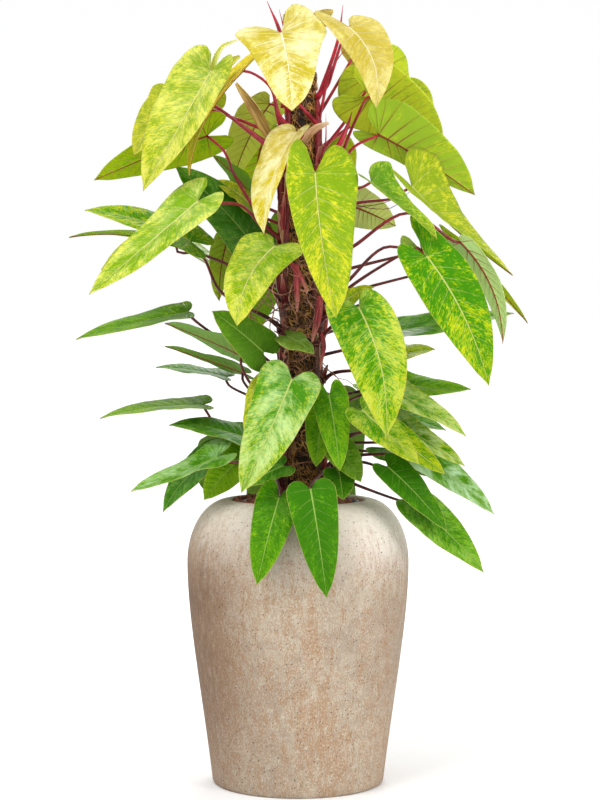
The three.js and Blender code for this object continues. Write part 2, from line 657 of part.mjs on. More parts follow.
    looks: [0.3, -0.5, 0.8], width: 92, tone: 2, arch: 0.06 },
  { name: 'fan_right_third', vine: 'f', bud: 440, notch: [370, 404, -30], tip: [446, 430, -30],
    looks: [0.2, -0.45, 0.85], width: 84, tone: 3, arch: 0 },
  { name: 'lime_low_right', vine: 'b', bud: 440, notch: [362, 410, 185], tip: [419, 464, 215],
    looks: [0.1, -0.8, 0.55], width: 74, tone: 1, lobes: 0.7, arch: 0.02 },
  { name: 'lime_low_right_behind', vine: 'b', bud: 450, notch: [384, 428, 150], tip: [445, 474, 165],
    looks: [0.1, -0.8, 0.55], width: 60, tone: 1, arch: 0.02 },
  { name: 'fan_right_fourth', vine: 'd', bud: 455, notch: [388, 420, 95], tip: [465, 466, 100],
    looks: [0.2, -0.65, 0.75], width: 72, tone: 3, arch: 0.03 },
  { name: 'dark_fan_right', vine: 'f', bud: 462, notch: [386, 448, -20], tip: [465, 490, -20],
    looks: [0.1, -0.6, 0.8], width: 84, tone: 3 },
  { name: 'long_low_right', vine: 'd', bud: 470, notch: [412, 450, 55], tip: [494, 514, 65],
    looks: [0.2, -0.65, 0.7], width: 82, tone: 3, arch: 0.05 },
  { name: 'dark_low_right_front', vine: 'b', bud: 478, notch: [388, 467, 130], tip: [447, 531, 150],
    looks: [0.2, -0.75, 0.6], width: 68, tone: 3, lobes: 0.7, arch: 0.05, bends: [[359, 462, 66]] },
  { name: 'lowest_right', vine: 'd', bud: 488, notch: [410, 501, 115], tip: [484, 573, 125],
    looks: [0.15, -0.75, 0.6], width: 68, tone: 3, lobes: 0.5, arch: 0, sweep: -0.04, belly: 0.3,
    bends: [[359, 486, 85]] },
  // Back, where the foliage goes on round the pole
  { name: 'back_crown', vine: 'e', bud: 130, notch: [309, 16, 20], tip: [298, 56, -125],
    looks: [-0.1, 0.5, 0.85], width: 92, tone: 0, lobes: 1.2, bends: [[286, 70, -70]] },
  { name: 'back_crown_right', vine: 'f', bud: 128, notch: [358, 50, -70], tip: [376, 98, -135],
    looks: [0.2, 0.8, 0.5], width: 66, tone: 0 },
  { name: 'back_upper', vine: 'f', bud: 185, notch: [325, 150, -150], tip: [332, 240, -205],
    looks: [0.1, 0.9, 0.4], width: 118, tone: 1 },
  { name: 'back_upper_left', vine: 'e', bud: 215, notch: [262, 140, -200], tip: [250, 225, -260],
    looks: [-0.2, 0.8, 0.5], width: 112, tone: 1 },
  { name: 'back_far_right', vine: 'f', bud: 160, notch: [400, 96, -150], tip: [424, 176, -205],
    looks: [0.3, 0.8, 0.5], width: 118, tone: 1 },
  { name: 'back_far_left', vine: 'e', bud: 165, notch: [202, 100, -70], tip: [170, 165, -130],
    looks: [-0.4, 0.7, 0.5], width: 108, tone: 1 },
  { name: 'back_middle', vine: 'f', bud: 270, notch: [300, 225, -160], tip: [292, 310, -215],
    looks: [0, 0.9, 0.4], width: 118, tone: 2 },
  { name: 'back_middle_right', vine: 'f', bud: 350, notch: [366, 322, -130], tip: [380, 410, -200],
    looks: [0.2, 0.85, 0.4], width: 112, tone: 2 },
  { name: 'back_middle_left', vine: 'e', bud: 330, notch: [262, 268, -150], tip: [246, 345, -215],
    looks: [-0.2, 0.85, 0.4], width: 112, tone: 2 },
  { name: 'back_outer_right', vine: 'f', bud: 315, notch: [440, 268, -110], tip: [468, 345, -180],
    looks: [0.4, 0.7, 0.5], width: 100, tone: 2 },
  { name: 'back_low', vine: 'e', bud: 410, notch: [285, 386, -160], tip: [268, 470, -230],
    looks: [-0.1, 0.85, 0.45], width: 116, tone: 3 },
  { name: 'back_low_right', vine: 'f', bud: 430, notch: [335, 402, -140], tip: [350, 486, -210],
    looks: [0.2, 0.85, 0.4], width: 106, tone: 3 },
  { name: 'back_low_far_left', vine: 'e', bud: 458, notch: [226, 440, -110], tip: [205, 492, -190],
    looks: [-0.3, 0.6, 0.7], width: 100, tone: 3 },
  { name: 'back_low_far_right', vine: 'f', bud: 460, notch: [404, 436, -100], tip: [446, 478, -170],
    looks: [0.3, 0.5, 0.8], width: 100, tone: 3 },
  { name: 'back_hanging_left', vine: 'e', bud: 484, notch: [272, 480, -195], tip: [258, 560, -240],
    looks: [-0.1, 0.9, 0.35], width: 92, tone: 3 },
  { name: 'back_hanging_right', vine: 'f', bud: 486, notch: [330, 480, -195], tip: [346, 566, -245],
    looks: [0.1, 0.9, 0.35], width: 92, tone: 3 },
];

// Red sheaths and spear-like buds, from the vine to their points
const sheaths = [
  { vine: 'a', bud: 100, tip: [268, 3, 60], bends: [[282, 36, 50]] },
  { vine: 'b', bud: 100, tip: [344, 6, 40], bends: [[338, 40, 40]] },
  { vine: 'c', bud: 135, tip: [273, 97, 30], bends: [[277, 110, 26]] },
  { vine: 'd', bud: 160, tip: [351, 113, 35], bends: [[344, 132, 30]] },
];

function sheathGeometry(sheath) {
  const foot = vinePoint(vines[sheath.vine], seen(pictureCentre.column, sheath.bud, 0).z);
  const stops = [foot, ...sheath.bends.map((bend) => seen(...bend)), seen(...sheath.tip)];
  const path = new THREE.CatmullRomCurve3(stops, false, 'centripetal').getSpacedPoints(4);
  return taperedTube(path, [4.5, 4.6, 4, 2.4, 0.5], 5);
}

const wholeVines = ['e', 'f'];

function makeVine(key) {
  const own = leaves.filter((leaf) => leaf.vine === key);
  const whole = wholeVines.includes(key);
  const pieces = [solid(vineStem(vines[key]))];
  own.forEach((leaf) => pieces.push(solid(petioleGeometry(leaf, whole))));
  if (whole) {
    own.forEach((leaf) => pieces.push(solid(bladeGeometry(leaf, fewestRays, edgeOnly))));
  }
  sheaths.filter((sheath) => sheath.vine === key).forEach((sheath) => pieces.push(solid(sheathGeometry(sheath))));
  addNode(whole ? `leafy_vine_${key}` : `vine_${key}`, geometryOf(joined(pieces)), whole ? leafTones[2] : stemMaroon);
}

function makeBlades() {
  leaves.filter((leaf) => !wholeVines.includes(leaf.vine)).forEach((leaf) => {
    const rays = leaf.width < narrowBlade ? fewRays : everyRay;
    const steps = leaf.width < smallBlade ? edgeOnly : innerAndEdge;
    addNode(`blade_${leaf.name}`, bladeGeometry(leaf, rays, steps), leafTones[leaf.tone]);
  });
}

makePlanter();
makeGranuleFill();
makeGrowerPot();
makePottingSoil();
makeTopGranules();
makePole();
Object.keys(vines).forEach(makeVine);
makeBlades();

export default plant;
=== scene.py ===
import math
import random

import bpy
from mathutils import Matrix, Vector, noise


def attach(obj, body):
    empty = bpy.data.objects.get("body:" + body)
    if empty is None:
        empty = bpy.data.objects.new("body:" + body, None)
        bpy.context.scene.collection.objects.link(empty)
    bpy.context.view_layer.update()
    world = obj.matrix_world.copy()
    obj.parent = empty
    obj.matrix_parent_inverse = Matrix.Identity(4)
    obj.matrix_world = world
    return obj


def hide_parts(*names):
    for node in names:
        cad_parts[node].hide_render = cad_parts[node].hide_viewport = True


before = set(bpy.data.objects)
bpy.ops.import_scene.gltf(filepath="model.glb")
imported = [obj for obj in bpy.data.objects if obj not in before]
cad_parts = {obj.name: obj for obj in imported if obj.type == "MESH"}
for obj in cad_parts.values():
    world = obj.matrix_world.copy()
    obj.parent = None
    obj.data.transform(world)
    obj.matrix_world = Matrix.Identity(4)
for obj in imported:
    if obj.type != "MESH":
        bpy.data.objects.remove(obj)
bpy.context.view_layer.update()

# Potted painted lady philodendron. Lengths are worked out in millimetres, in the part's own frame,
# and each piece is put down in metres.
MILLIMETRE = 0.001

# Planter
PLANTER_HEIGHT = 525
BASE_RADIUS = 154
FOOT_RADIUS = 159
FOOT_HEIGHT = 6
WIDEST_RADIUS = 205
WIDEST_HEIGHT = 409
RIM_RADIUS = 129
MOUTH_RADIUS = 122
NECK_FOOT = 505
WALL_THICKNESS = 14
FLOOR_THICKNESS = 16
FOOT_ROUNDING = [(-2, 0), (0, 0.2), (2.6, 1.6)]
LIP_ROUNDING = [(4.5, 0.2), (2, 0.9), (0.6, 2.6), (0, 5)]
SWELL_LOW = (175.5, 150)
SWELL_HIGH = (WIDEST_RADIUS, 300)
WALL_STEPS = 60
SHOULDER_STEPS = 40
LINING_STEP = 24
PLANTER_SIDES = 160

# Inner pot and granules
GROWER_CENTRE = (5, 4)
GROWER_FOOT_HEIGHT = 292
GROWER_FOOT_RADIUS = 88
GROWER_RIM_HEIGHT = 521
GROWER_RIM_RADIUS = 109
GROWER_MOUTH_RADIUS = 105
GROWER_WALL = 2.6
GROWER_LIP = 8
GROWER_SIDES = 96
GRANULE_TOP = 517
GRANULE_HEAP = 4.5
GRANULE_HEAP_REACH = 70
GRANULE_LIFTS = (-1.5, 3)
GRANULE_SIZES = (2.6, 4.3)
GRANULE_SQUASH = [(0.8, 1.15), (0.8, 1.15), (0.7, 1.0)]
GRANULE_LUMPS = 0.28
GRANULE_SEED = 23
RING_GRANULES = 430
INNER_GRANULES = 1150

# Climbing pole and vines
POLE_CENTRE = (6, 0)
POLE_RADIUS = 28
POLE_TOP = 1312
POLE_FOOT = 300
WRAP_START = 540
WRAP_RISE = 170
WRAP_WAIST = 2.5
VINE_RADIUS = 5.6
VINE_CLIMB_RADIUS = POLE_RADIUS + VINE_RADIUS + 1.6
VINE_ROOT_RADIUS = 47
VINE_FOOT = 425
VINE_GATHERS = (528, 660)
VINE_WANDER = 7
VINE_WANDER_LENGTH = 95
VINE_STEP = 4
STEM_SIDES = 10
VINE_TIP_RADIUS = 0.8
VINE_TIP_SLOPE = 0.22
BETWEEN_JOINTS = VINE_RADIUS - 0.4
JOINT_RISE = 38
JOINT_TURN_SHIFT = 9
JOINT_RING = 0.9
JOINT_RING_REACH = 2.6
VINES = {
    "a": (-48, 1262),
    "b": (52, 1268),
    "c": (-98, 1225),
    "d": (103, 1240),
    "e": (-152, 1215),
    "f": (158, 1230),
}
WHOLE_VINES = ("e", "f")

# Leaves
BLADE_THICKNESS = 0.7
WAVE_HEIGHT = 3
WAVE_TURNS = 7.5
OTHER_WAVE = 1.9
KEEL_SOFTNESS = 0.03
EDGE_CURL = 5
EDGE_CRIMP = 1.6
QUILT = 0.011
RIB_HALF_WIDTHS = (1.9, 0.35)
RIB_HEIGHT = 1.5
RIB_GROOVE = 0.25
FAR_FROM_MARGIN = 30
OTHER_HALF = 20

# Petioles
PETIOLE_FOOT_RADIUS = 4.8
PETIOLE_TIP_RADIUS = 2.2
PETIOLE_OUTWARD = 13
PETIOLE_TOWARDS_LEAF = 12
PETIOLE_SINK = 0.6
PETIOLE_UNDER_LEAF = 13
PETIOLE_BEHIND_NOTCH = 5
PETIOLE_STEPS = 22
PETIOLE_SIDES = 9
CLASP_SWELL = 1.8
CLASP_REACH = 0.05
KNEE_SWELL = 0.5
KNEE_PLACE = 0.94
KNEE_REACH = 0.03

# The eye that the leaf places are seen from: a place is a column, a row and how far it stands
# forward of the pole
EYE = Vector((3.7, -3930, 878))
EYE_TILT = math.radians(2.476)
EYE_FOCAL = 2128
PICTURE_MIDDLE = (300, 400)
PICTURE_HEIGHT = 800
SENSOR = 36


def seen(column, row, forward):
    across = column - PICTURE_MIDDLE[0]
    up = PICTURE_MIDDLE[1] - row
    ray = Vector((
        across,
        EYE_FOCAL * math.cos(EYE_TILT) + up * math.sin(EYE_TILT),
        up * math.cos(EYE_TILT) - EYE_FOCAL * math.sin(EYE_TILT),
    ))
    return EYE + ray * ((-forward - EYE.y) / ray.y)


def all_seen(places):
    return [seen(*place) for place in places]


def smoothstep(value, low, high):
    share = min(max((value - low) / (high - low), 0), 1)
    return share * share * (3 - 2 * share)


def blend(low, high, share):
    return low + (high - low) * share


def shares(count):
    """Even shares from 0 to 1, one more than the count"""
    return [at / count for at in range(count + 1)]


def scattered(dice, reach):
    return Vector((dice.uniform(-reach, reach), dice.uniform(-reach, reach), dice.uniform(-reach, reach)))


def round_pole(turn, radius, height):
    """A point round the pole; the turn starts at the front and goes towards the right"""
    return Vector((
        POLE_CENTRE[0] + radius * math.sin(turn), POLE_CENTRE[1] - radius * math.cos(turn), height,
    ))


def vine_point(vine, height):
    angle, _top = VINES[vine]
    low, high = VINE_GATHERS
    radius = blend(VINE_ROOT_RADIUS, VINE_CLIMB_RADIUS, smoothstep(height, low, high))
    wander = 0 if height < high else VINE_WANDER * math.sin((height - high) / VINE_WANDER_LENGTH + angle)
    return round_pole(math.radians(angle + wander), radius, height)


def bud_point(vine, row):
    return vine_point(vine, seen(PICTURE_MIDDLE[0], row, 0).z)


# Shapes

class Shape:
    """Points in millimetres with their faces, and named marks that a material reads at each point"""

    def __init__(self, points=(), faces=(), **marks):
        self.points = []
        self.faces = []
        self.marks = {}
        self.add(points, faces, **marks)

    def add(self, points, faces, **marks):
        first = len(self.points)
        self.points.extend(points)
        self.faces.extend([tuple(first + corner for corner in face) for face in faces])
        for mark, values in marks.items():
            if not isinstance(values, list):
                values = [values] * len(points)
            self.marks.setdefault(mark, []).extend(values)


def into_scene(thing):
    bpy.context.scene.collection.objects.link(thing)


def put_down(name, shape, material, slot, *nodes):
    mesh = bpy.data.meshes.new(name)
    mesh.from_pydata([tuple(Vector(point) * MILLIMETRE) for point in shape.points], [], shape.faces)
    mesh.materials.append(material)
    mesh.shade_smooth()
    for mark, values in shape.marks.items():
        layer = mesh.attributes.new(mark, "FLOAT_VECTOR", "POINT")
        layer.data.foreach_set("vector", [number for value in values for number in value])
    piece = bpy.data.objects.new(name, mesh)
    into_scene(piece)
    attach(piece, "root")
    if nodes:
        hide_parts(*nodes)


def loft(loops):
    """One closed skin over loops of equal length, with a flat cap at each end"""
    sides = len(loops[0])
    points = [point for loop in loops for point in loop]
    faces = []
    for ring in range(len(loops) - 1):
        for corner in range(sides):
            here = ring * sides + corner
            after = ring * sides + (corner + 1) % sides
            faces.append((here, after, after + sides, here + sides))
    last = (len(loops) - 1) * sides
    faces.append(tuple(range(sides - 1, -1, -1)))
    faces.append(tuple(range(last, last + sides)))
    return points, faces


def frames_along(path):
    """A pair of side directions at each point of a path, carried along without twist"""
    side = Vector((1, 0, 0))
    if abs((path[1] - path[0]).normalized().x) > 0.8:
        side = Vector((0, 1, 0))
    pairs = []
    for index in range(len(path)):
        along = (path[min(index + 1, len(path) - 1)] - path[max(index - 1, 0)]).normalized()
        side = (side - along * side.dot(along)).normalized()
        pairs.append((side, along.cross(side)))
    return pairs


def tube(path, radii, sides):
    loops = []
    for point, radius, (side, other) in zip(path, radii, frames_along(path)):
        turns = [2 * math.pi * corner / sides for corner in range(sides)]
        loops.append([point + side * (math.cos(turn) * radius) + other * (math.sin(turn) * radius)
                      for turn in turns])
    return loft(loops)


def curve_point(corners, times, time):
    """A point of the smooth curve through four corners, between the middle two"""
    points = list(corners)
    for level, firsts in enumerate([(0, 1, 2), (0, 1)], 1):
        points = [
            points[first].lerp(points[first + 1],
                               (time - times[first]) / (times[first + level] - times[first]))
            for first in firsts
        ]
    return points[0].lerp(points[1], (time - times[1]) / (times[2] - times[1]))


def evenly_spaced(points, count):
    lengths = [0]
    for near, far in zip(points, points[1:]):
        lengths.append(lengths[-1] + (far - near).length)
    spaced = []
    at = 0
    for step in range(count + 1):
        goal = lengths[-1] * step / count
        while at < len(points) - 2 and lengths[at + 1] < goal:
            at += 1
        span = max(lengths[at + 1] - lengths[at], 1e-6)
        spaced.append(points[at].lerp(points[at + 1], (goal - lengths[at]) / span))
    return spaced


def smooth_path(stops, count):
    """count + 1 points, evenly spaced on a centripetal curve through the stops"""
    knots = [2 * stops[0] - stops[1], *stops, 2 * stops[-1] - stops[-2]]
    fine = []
    steps = 14
    for index in range(1, len(knots) - 2):
        corners = knots[index - 1:index + 3]
        times = [0]
        for near, far in zip(corners, corners[1:]):
            times.append(times[-1] + max((far - near).length, 0.01) ** 0.5)
        for step in range(steps):
            fine.append(curve_point(corners, times, blend(times[1], times[2], step / steps)))
    fine.append(stops[-1])
    return evenly_spaced(fine, count)


def turned(profile, sides, centre=(0, 0)):
    """A skin turned round an upright axis from (radius, height) points that start and end on the axis"""
    points = [Vector((*centre, profile[0][1]))]
    for radius, height in profile[1:-1]:
        for corner in range(sides):
            turn = 2 * math.pi * corner / sides
            points.append(Vector((
                centre[0] + radius * math.cos(turn), centre[1] + radius * math.sin(turn), height,
            )))
    points.append(Vector((*centre, profile[-1][1])))
    faces = []
    last = len(points) - 1
    rings = len(profile) - 2
    for corner in range(sides):
        after = (corner + 1) % sides
        faces.append((0, 1 + after, 1 + corner))
        for ring in range(rings - 1):
            low = 1 + ring * sides
            faces.append((low + corner, low + after, low + sides + after, low + sides + corner))
        top = 1 + (rings - 1) * sides
        faces.append((last, top + corner, top + after))
    return points, faces


# Shader wiring

class Wiring:
    """Adds shader nodes to one tree and joins them; a plain number or colour is set on the socket"""

    def __init__(self, tree):
        self.tree = tree

    def feed(self, socket, value):
        if isinstance(value, bpy.types.NodeSocket):
            self.tree.links.new(value, socket)
        elif value is not None:
            socket.default_value = value

    def put(self, kind, feeds=None, **settings):
        node = self.tree.nodes.new(kind)
        for setting, value in settings.items():
            setattr(node, setting, value)
        for socket, value in (feeds or {}).items():
            self.feed(node.inputs[socket], value)
        return node

    def maths(self, operation, *values):
        node = self.put("ShaderNodeMath", operation=operation)
        for socket, value in zip(node.inputs, values):
            self.feed(socket, value)
        return node.outputs[0]

    def scaled(self, value, factor, start=None):
        """A value times a factor, with a start added to it"""
        if start is None:
            return self.maths("MULTIPLY", value, factor)
        return self.maths("MULTIPLY_ADD", value, factor, start)

    def added(self, first, second):
        return self.maths("ADD", first, second)

    def less(self, whole, taken):
        return self.maths("SUBTRACT", whole, taken)

    def mix(self, share, low, high):
        node = self.put("ShaderNodeMix", {0: share, 6: low, 7: high}, data_type="RGBA")
        return node.outputs[2]

    def step(self, value, low, high, start=0, end=1):
        node = self.put("ShaderNodeMapRange", {0: value, 1: low, 2: high, 3: start, 4: end},
                        interpolation_type="SMOOTHSTEP")
        return node.outputs[0]

    def noise(self, place, scale, detail=2, roughness=0.5):
        node = self.put("ShaderNodeTexNoise", {
            "Vector": place, "Scale": scale, "Detail": detail, "Roughness": roughness,
        })
        return node.outputs[0]

    def stretched(self, place, across, along, upright):
        node = self.put("ShaderNodeVectorMath", {0: place, 1: (across, along, upright)}, operation="MULTIPLY")
        return node.outputs[0]

    def joined(self, first, second, third):
        return self.put("ShaderNodeCombineXYZ", {0: first, 1: second, 2: third}).outputs[0]

    def parts(self, place):
        return self.put("ShaderNodeSeparateXYZ", {0: place}).outputs

    def mark(self, name):
        return self.put("ShaderNodeAttribute", attribute_name=name).outputs["Vector"]

    def place(self):
        return self.put("ShaderNodeTexCoord").outputs["Object"]

    def group(self, group, feeds):
        return self.put("ShaderNodeGroup", feeds, node_tree=group).outputs


def shader_group(name, inputs, outputs, fill):
    """A node group with named inputs and outputs, filled by a function that returns its outputs"""
    kinds = {"value": "NodeSocketFloat", "colour": "NodeSocketColor", "place": "NodeSocketVector"}
    group = bpy.data.node_groups.new(name, "ShaderNodeTree")
    for label, kind in inputs.items():
        group.interface.new_socket(name=label, in_out="INPUT", socket_type=kinds[kind])
    for label, kind in outputs.items():
        group.interface.new_socket(name=label, in_out="OUTPUT", socket_type=kinds[kind])
    wiring = Wiring(group)
    given = wiring.put("NodeGroupInput").outputs
    results = fill(wiring, given)
    wiring.put("NodeGroupOutput", dict(zip(outputs, results)))
    return group


def mottle_inside(wiring, given):
    """Two colours blended by a coarse and a fine noise"""
    coarse = wiring.noise(given["Place"], given["Coarse Scale"], 3, 0.55)
    fine = wiring.noise(given["Place"], given["Fine Scale"], 4, 0.65)
    value = wiring.scaled(fine, 0.45, wiring.scaled(coarse, 0.55))
    low = wiring.less(0.5, given["Softness"])
    high = wiring.added(0.5, given["Softness"])
    share = wiring.step(value, low, high)
    return wiring.mix(share, given["Dark"], given["Light"]), share


MOTTLE = shader_group(
    "mottle",
    {"Place": "place", "Coarse Scale": "value", "Fine Scale": "value", "Softness": "value",
     "Dark": "colour", "Light": "colour"},
    {"Colour": "colour", "Value": "value"},
    mottle_inside,
)


def leaf_paint_inside(wiring, given):
    """The painted upper side and the veined underside of a blade, with painted sheen. The mark "vein" holds
    the count along the side veins, the share of the way from midrib to margin and the leaf's own number; the
    mark
    "place" holds the distance from the midrib in rib widths, the distance from the margin in
    millimetres, and 1 on the underside; the mark "own" holds how gold it is, how much painted sheen it
    carries and how dark it is."""
    count, outward, number = wiring.parts(wiring.mark("vein"))
    from_rib, from_margin, under = wiring.parts(wiring.mark("place"))
    gold, painted_sheen, depth = wiring.parts(wiring.mark("own"))
    own = wiring.scaled(number, 7.3)

    def streaks(across, along, detail, roughness, seed=own):
        place = wiring.joined(wiring.scaled(count, across), wiring.scaled(outward, along), seed)
        return wiring.noise(place, 1, detail, roughness)

    broad = streaks(0.5, 1.3, 2, 0.5)
    medium = streaks(2.4, 4.2, 3, 0.6)
    fine = streaks(7, 6, 3, 0.65)
    speckle = streaks(12, 10, 2, 0.6)
    patches = wiring.scaled(medium, 0.5, wiring.scaled(broad, 0.5))
    from_notch = wiring.maths("MODULO", count, OTHER_HALF)
    towards_margin = wiring.step(outward, 0.2, 1, -0.03, 0.05)
    towards_tip = wiring.step(from_notch, 2, 14, -0.04, 0.06)
    ripened = wiring.added(patches, wiring.added(towards_margin, towards_tip))
    lowered = wiring.scaled(depth, -0.16, ripened)
    woven = wiring.scaled(speckle, 0.45, wiring.scaled(lowered, 0.55))
    flecks = streaks(8, 6, 2, 0.6, wiring.added(own, 3.5))
    flecked = wiring.mix(wiring.step(flecks, 0.50, 0.58, 0, 0.75), given["Ground"], given["Deep"])
    ground = wiring.mix(wiring.step(woven, 0.42, 0.57), given["Deep"], flecked)
    strokes = wiring.scaled(fine, 0.55, wiring.scaled(lowered, 0.45))
    streak_top = wiring.added(given["Streak Edge"], 0.15)
    streaked = wiring.mix(wiring.step(strokes, given["Streak Edge"], streak_top, 0, 0.85),
                          ground, given["Streak"])
    dots = wiring.scaled(speckle, 0.6, wiring.scaled(lowered, 0.4))
    dot_top = wiring.added(given["Pale Edge"], 0.08)
    dotted = wiring.mix(wiring.step(dots, given["Pale Edge"], dot_top, 0, 0.7), streaked, given["Pale"])
    tanned = wiring.mix(wiring.step(strokes, 0.36, 0.62), (0.39, 0.30, 0.035, 1), (0.53, 0.43, 0.10, 1))
    gilded = wiring.mix(wiring.scaled(gold, 0.9), dotted, tanned)
    # Painted sheen: pale cloudy patches over the upper side stand in for studio light reflected off the leaf
    painted_sheen_patches = wiring.step(wiring.scaled(broad, 0.7, wiring.scaled(medium, 0.3)), 0.36, 0.68)
    with_painted_sheen = wiring.mix(wiring.scaled(painted_sheen, painted_sheen_patches), gilded, given["Painted Sheen"])

    whole = wiring.maths("FRACT", count)
    from_vein = wiring.less(0.5, wiring.maths("ABSOLUTE", wiring.less(whole, 0.5)))
    vein_line = wiring.step(from_vein, 0.01, 0.07, 1, 0)
    fading = wiring.step(outward, 0.1, 0.95, 1, 0.15)
    vein = wiring.scaled(vein_line, fading)
    rib = wiring.step(from_rib, 0.5, 1.1, 1, 0)
    vein_share = wiring.scaled(given["Vein Share"], wiring.scaled(gold, -0.8, 1))
    lined = wiring.mix(wiring.scaled(vein, vein_share), with_painted_sheen, given["Rib"])
    rib_share = wiring.scaled(rib, wiring.scaled(gold, -0.6, 0.88))
    ribbed = wiring.mix(rib_share, lined, given["Rib"])
    edge = wiring.step(from_margin, 0.3, 1.1, 0.5, 0)
    upper = wiring.mix(edge, ribbed, given["Edge"])

    # The underside gets half as much painted sheen
    under_with_painted_sheen = wiring.mix(wiring.scaled(painted_sheen, 0.5), wiring.mix(0.6, given["Under"], streaked),
                      given["Painted Sheen"])
    near_notch = wiring.step(from_notch, 3, 13, 1, 0.3)
    under_line = wiring.step(from_vein, 0.02, 0.11, 1, 0)
    maroon = wiring.mix(near_notch, wiring.mix(0.5, given["Under"], given["Edge"]), given["Under Rib"])
    maroon_vein = wiring.scaled(under_line, wiring.step(outward, 0.1, 0.9, 1, 0.2))
    dull_lined = wiring.mix(maroon_vein, under_with_painted_sheen, maroon)
    dull_ribbed = wiring.mix(wiring.step(from_rib, 1.0, 1.8, 0.95, 0), dull_lined, given["Under Rib"])
    colour = wiring.mix(under, upper, dull_ribbed)

    relief = wiring.scaled(vein_line, -0.6, wiring.scaled(rib, 0.5))
    signed = wiring.scaled(relief, wiring.scaled(under, -2, 1))
    height = wiring.scaled(fine, 0.5, signed)
    roughest = wiring.added(given["Smoothest"], 0.16)
    roughness = wiring.step(medium, 0.35, 0.65, given["Smoothest"], roughest)
    return colour, wiring.scaled(under, 0.2, roughness), height


# The Painted Sheen colour is a painted reflection of the studio light on the leaf
LEAF_COLOURS = ("Ground", "Deep", "Streak", "Pale", "Painted Sheen", "Rib", "Under")
LEAF_VALUES = ("Streak Edge", "Pale Edge", "Vein Share", "Smoothest")
LEAF_PAINT = shader_group(
    "leaf_paint",
    {**dict.fromkeys((*LEAF_COLOURS, "Edge", "Under Rib"), "colour"), **dict.fromkeys(LEAF_VALUES, "value")},
    {"Colour": "colour", "Roughness": "value", "Height": "value"},
    leaf_paint_inside,
)


# Materials

def colour(red, green, blue):
    return (red, green, blue, 1)


class Skin(Wiring):
    """The wiring of one material, with its surface"""

    def __init__(self, name):
        self.material = bpy.data.materials.new(name)
        self.material.use_nodes = True
        super().__init__(self.material.node_tree)
        self.surface = self.tree.nodes["Principled BSDF"]

    def finish(self, base, roughness, specular=None):
        self.feed(self.surface.inputs["Base Color"], base)
        self.feed(self.surface.inputs["Roughness"], roughness)
        self.feed(self.surface.inputs["Specular IOR Level"], specular)

    def bump(self, height, strength, distance):
        bump = self.put("ShaderNodeBump", {"Height": height, "Strength": strength, "Distance": distance})
        self.feed(self.surface.inputs["Normal"], bump.outputs[0])

    def mottled(self, coarse, fine, softness, dark, light):
        return self.group(MOTTLE, {
            "Place": self.place(), "Coarse Scale": coarse, "Fine Scale": fine, "Softness": softness,
            "Dark": dark, "Light": light,
        })


def leaf_skin(name, colours, values):
    """A leaf finish: its colours and values in the order of LEAF_COLOURS and LEAF_VALUES"""
    skin = Skin(name)
    feeds = {label: colour(*shade) for label, shade in zip(LEAF_COLOURS, colours)}
    feeds.update(zip(LEAF_VALUES, values))
    feeds["Edge"] = colour(0.66, 0.55, 0.16)
    feeds["Under Rib"] = colour(0.24, 0.035, 0.03)
    paint = skin.group(LEAF_PAINT, feeds)
    skin.finish(paint["Colour"], paint["Roughness"], 0.09)
    skin.surface.inputs["Specular Tint"].default_value = colour(0.85, 1, 0.4)
    skin.bump(paint["Height"], 0.8, 0.0012)
    return skin.material


CREAM, LIME, GREEN, DARK, BUTTER = range(5)
LEAF_SLOTS = ["leaf_cream", "leaf_lime", "leaf_green", "leaf_dark"]
LEAF_SKINS = [
    leaf_skin("leaf_cream",
              [(0.56, 0.48, 0.045), (0.41, 0.33, 0.02), (0.74, 0.65, 0.05), (0.82, 0.74, 0.34),
               (0.88, 0.86, 0.66), (0.92, 0.86, 0.62), (0.86, 0.60, 0.09)], [0.50, 0.54, 0.75, 0.36]),
    leaf_skin("leaf_lime",
              [(0.39, 0.49, 0.004), (0.145, 0.295, 0.003), (0.58, 0.57, 0.006), (0.66, 0.58, 0.03),
               (0.70, 0.78, 0.36), (0.64, 0.60, 0.24), (0.45, 0.62, 0.02)], [0.46, 0.52, 0.38, 0.34]),
    leaf_skin("leaf_green",
              [(0.135, 0.35, 0.004), (0.04, 0.19, 0.003), (0.40, 0.45, 0.005), (0.56, 0.53, 0.015),
               (0.50, 0.72, 0.38), (0.50, 0.54, 0.16), (0.30, 0.47, 0.01)], [0.47, 0.53, 0.35, 0.32]),
    leaf_skin("leaf_dark",
              [(0.075, 0.255, 0.004), (0.03, 0.14, 0.003), (0.15, 0.34, 0.006), (0.26, 0.42, 0.01),
               (0.42, 0.62, 0.36), (0.27, 0.42, 0.08), (0.18, 0.32, 0.02)], [0.50, 0.56, 0.35, 0.30]),
    leaf_skin("leaf_butter",
              [(0.74, 0.63, 0.028), (0.56, 0.44, 0.012), (0.80, 0.70, 0.05), (0.86, 0.80, 0.24),
               (0.97, 0.96, 0.84), (0.90, 0.80, 0.44), (0.92, 0.62, 0.08)], [0.48, 0.54, 0.5, 0.34]),
]


def vine_skin(name, upper, lower, brown_below, maroon_above, roughness, specular, relief, depth):
    """Maroon at the crown, going brown and dark towards the foot"""
    skin = Skin(name)
    high = skin.mottled(*upper)
    low = skin.mottled(*lower)
    height = skin.parts(skin.place())[2]
    blended = skin.mix(skin.step(height, brown_below, maroon_above), low["Colour"], high["Colour"])
    skin.finish(blended, roughness, specular)
    skin.bump(high["Value"], relief, depth)
    return skin.material


def fibre_skin(name, dark, light, roughness, depth, coarse=60, fine=500):
    """Mottled fibres; the mark "tone" holds how dark each strand is"""
    skin = Skin(name)
    mottled = skin.mottled(coarse, fine, 0.13, colour(*dark), colour(*light))
    tone = skin.parts(skin.mark("tone"))[0]
    skin.finish(skin.mix(skin.scaled(tone, 0.6), mottled["Colour"], colour(*dark)), roughness)
    skin.bump(mottled["Value"], 0.6, depth)
    return skin.material


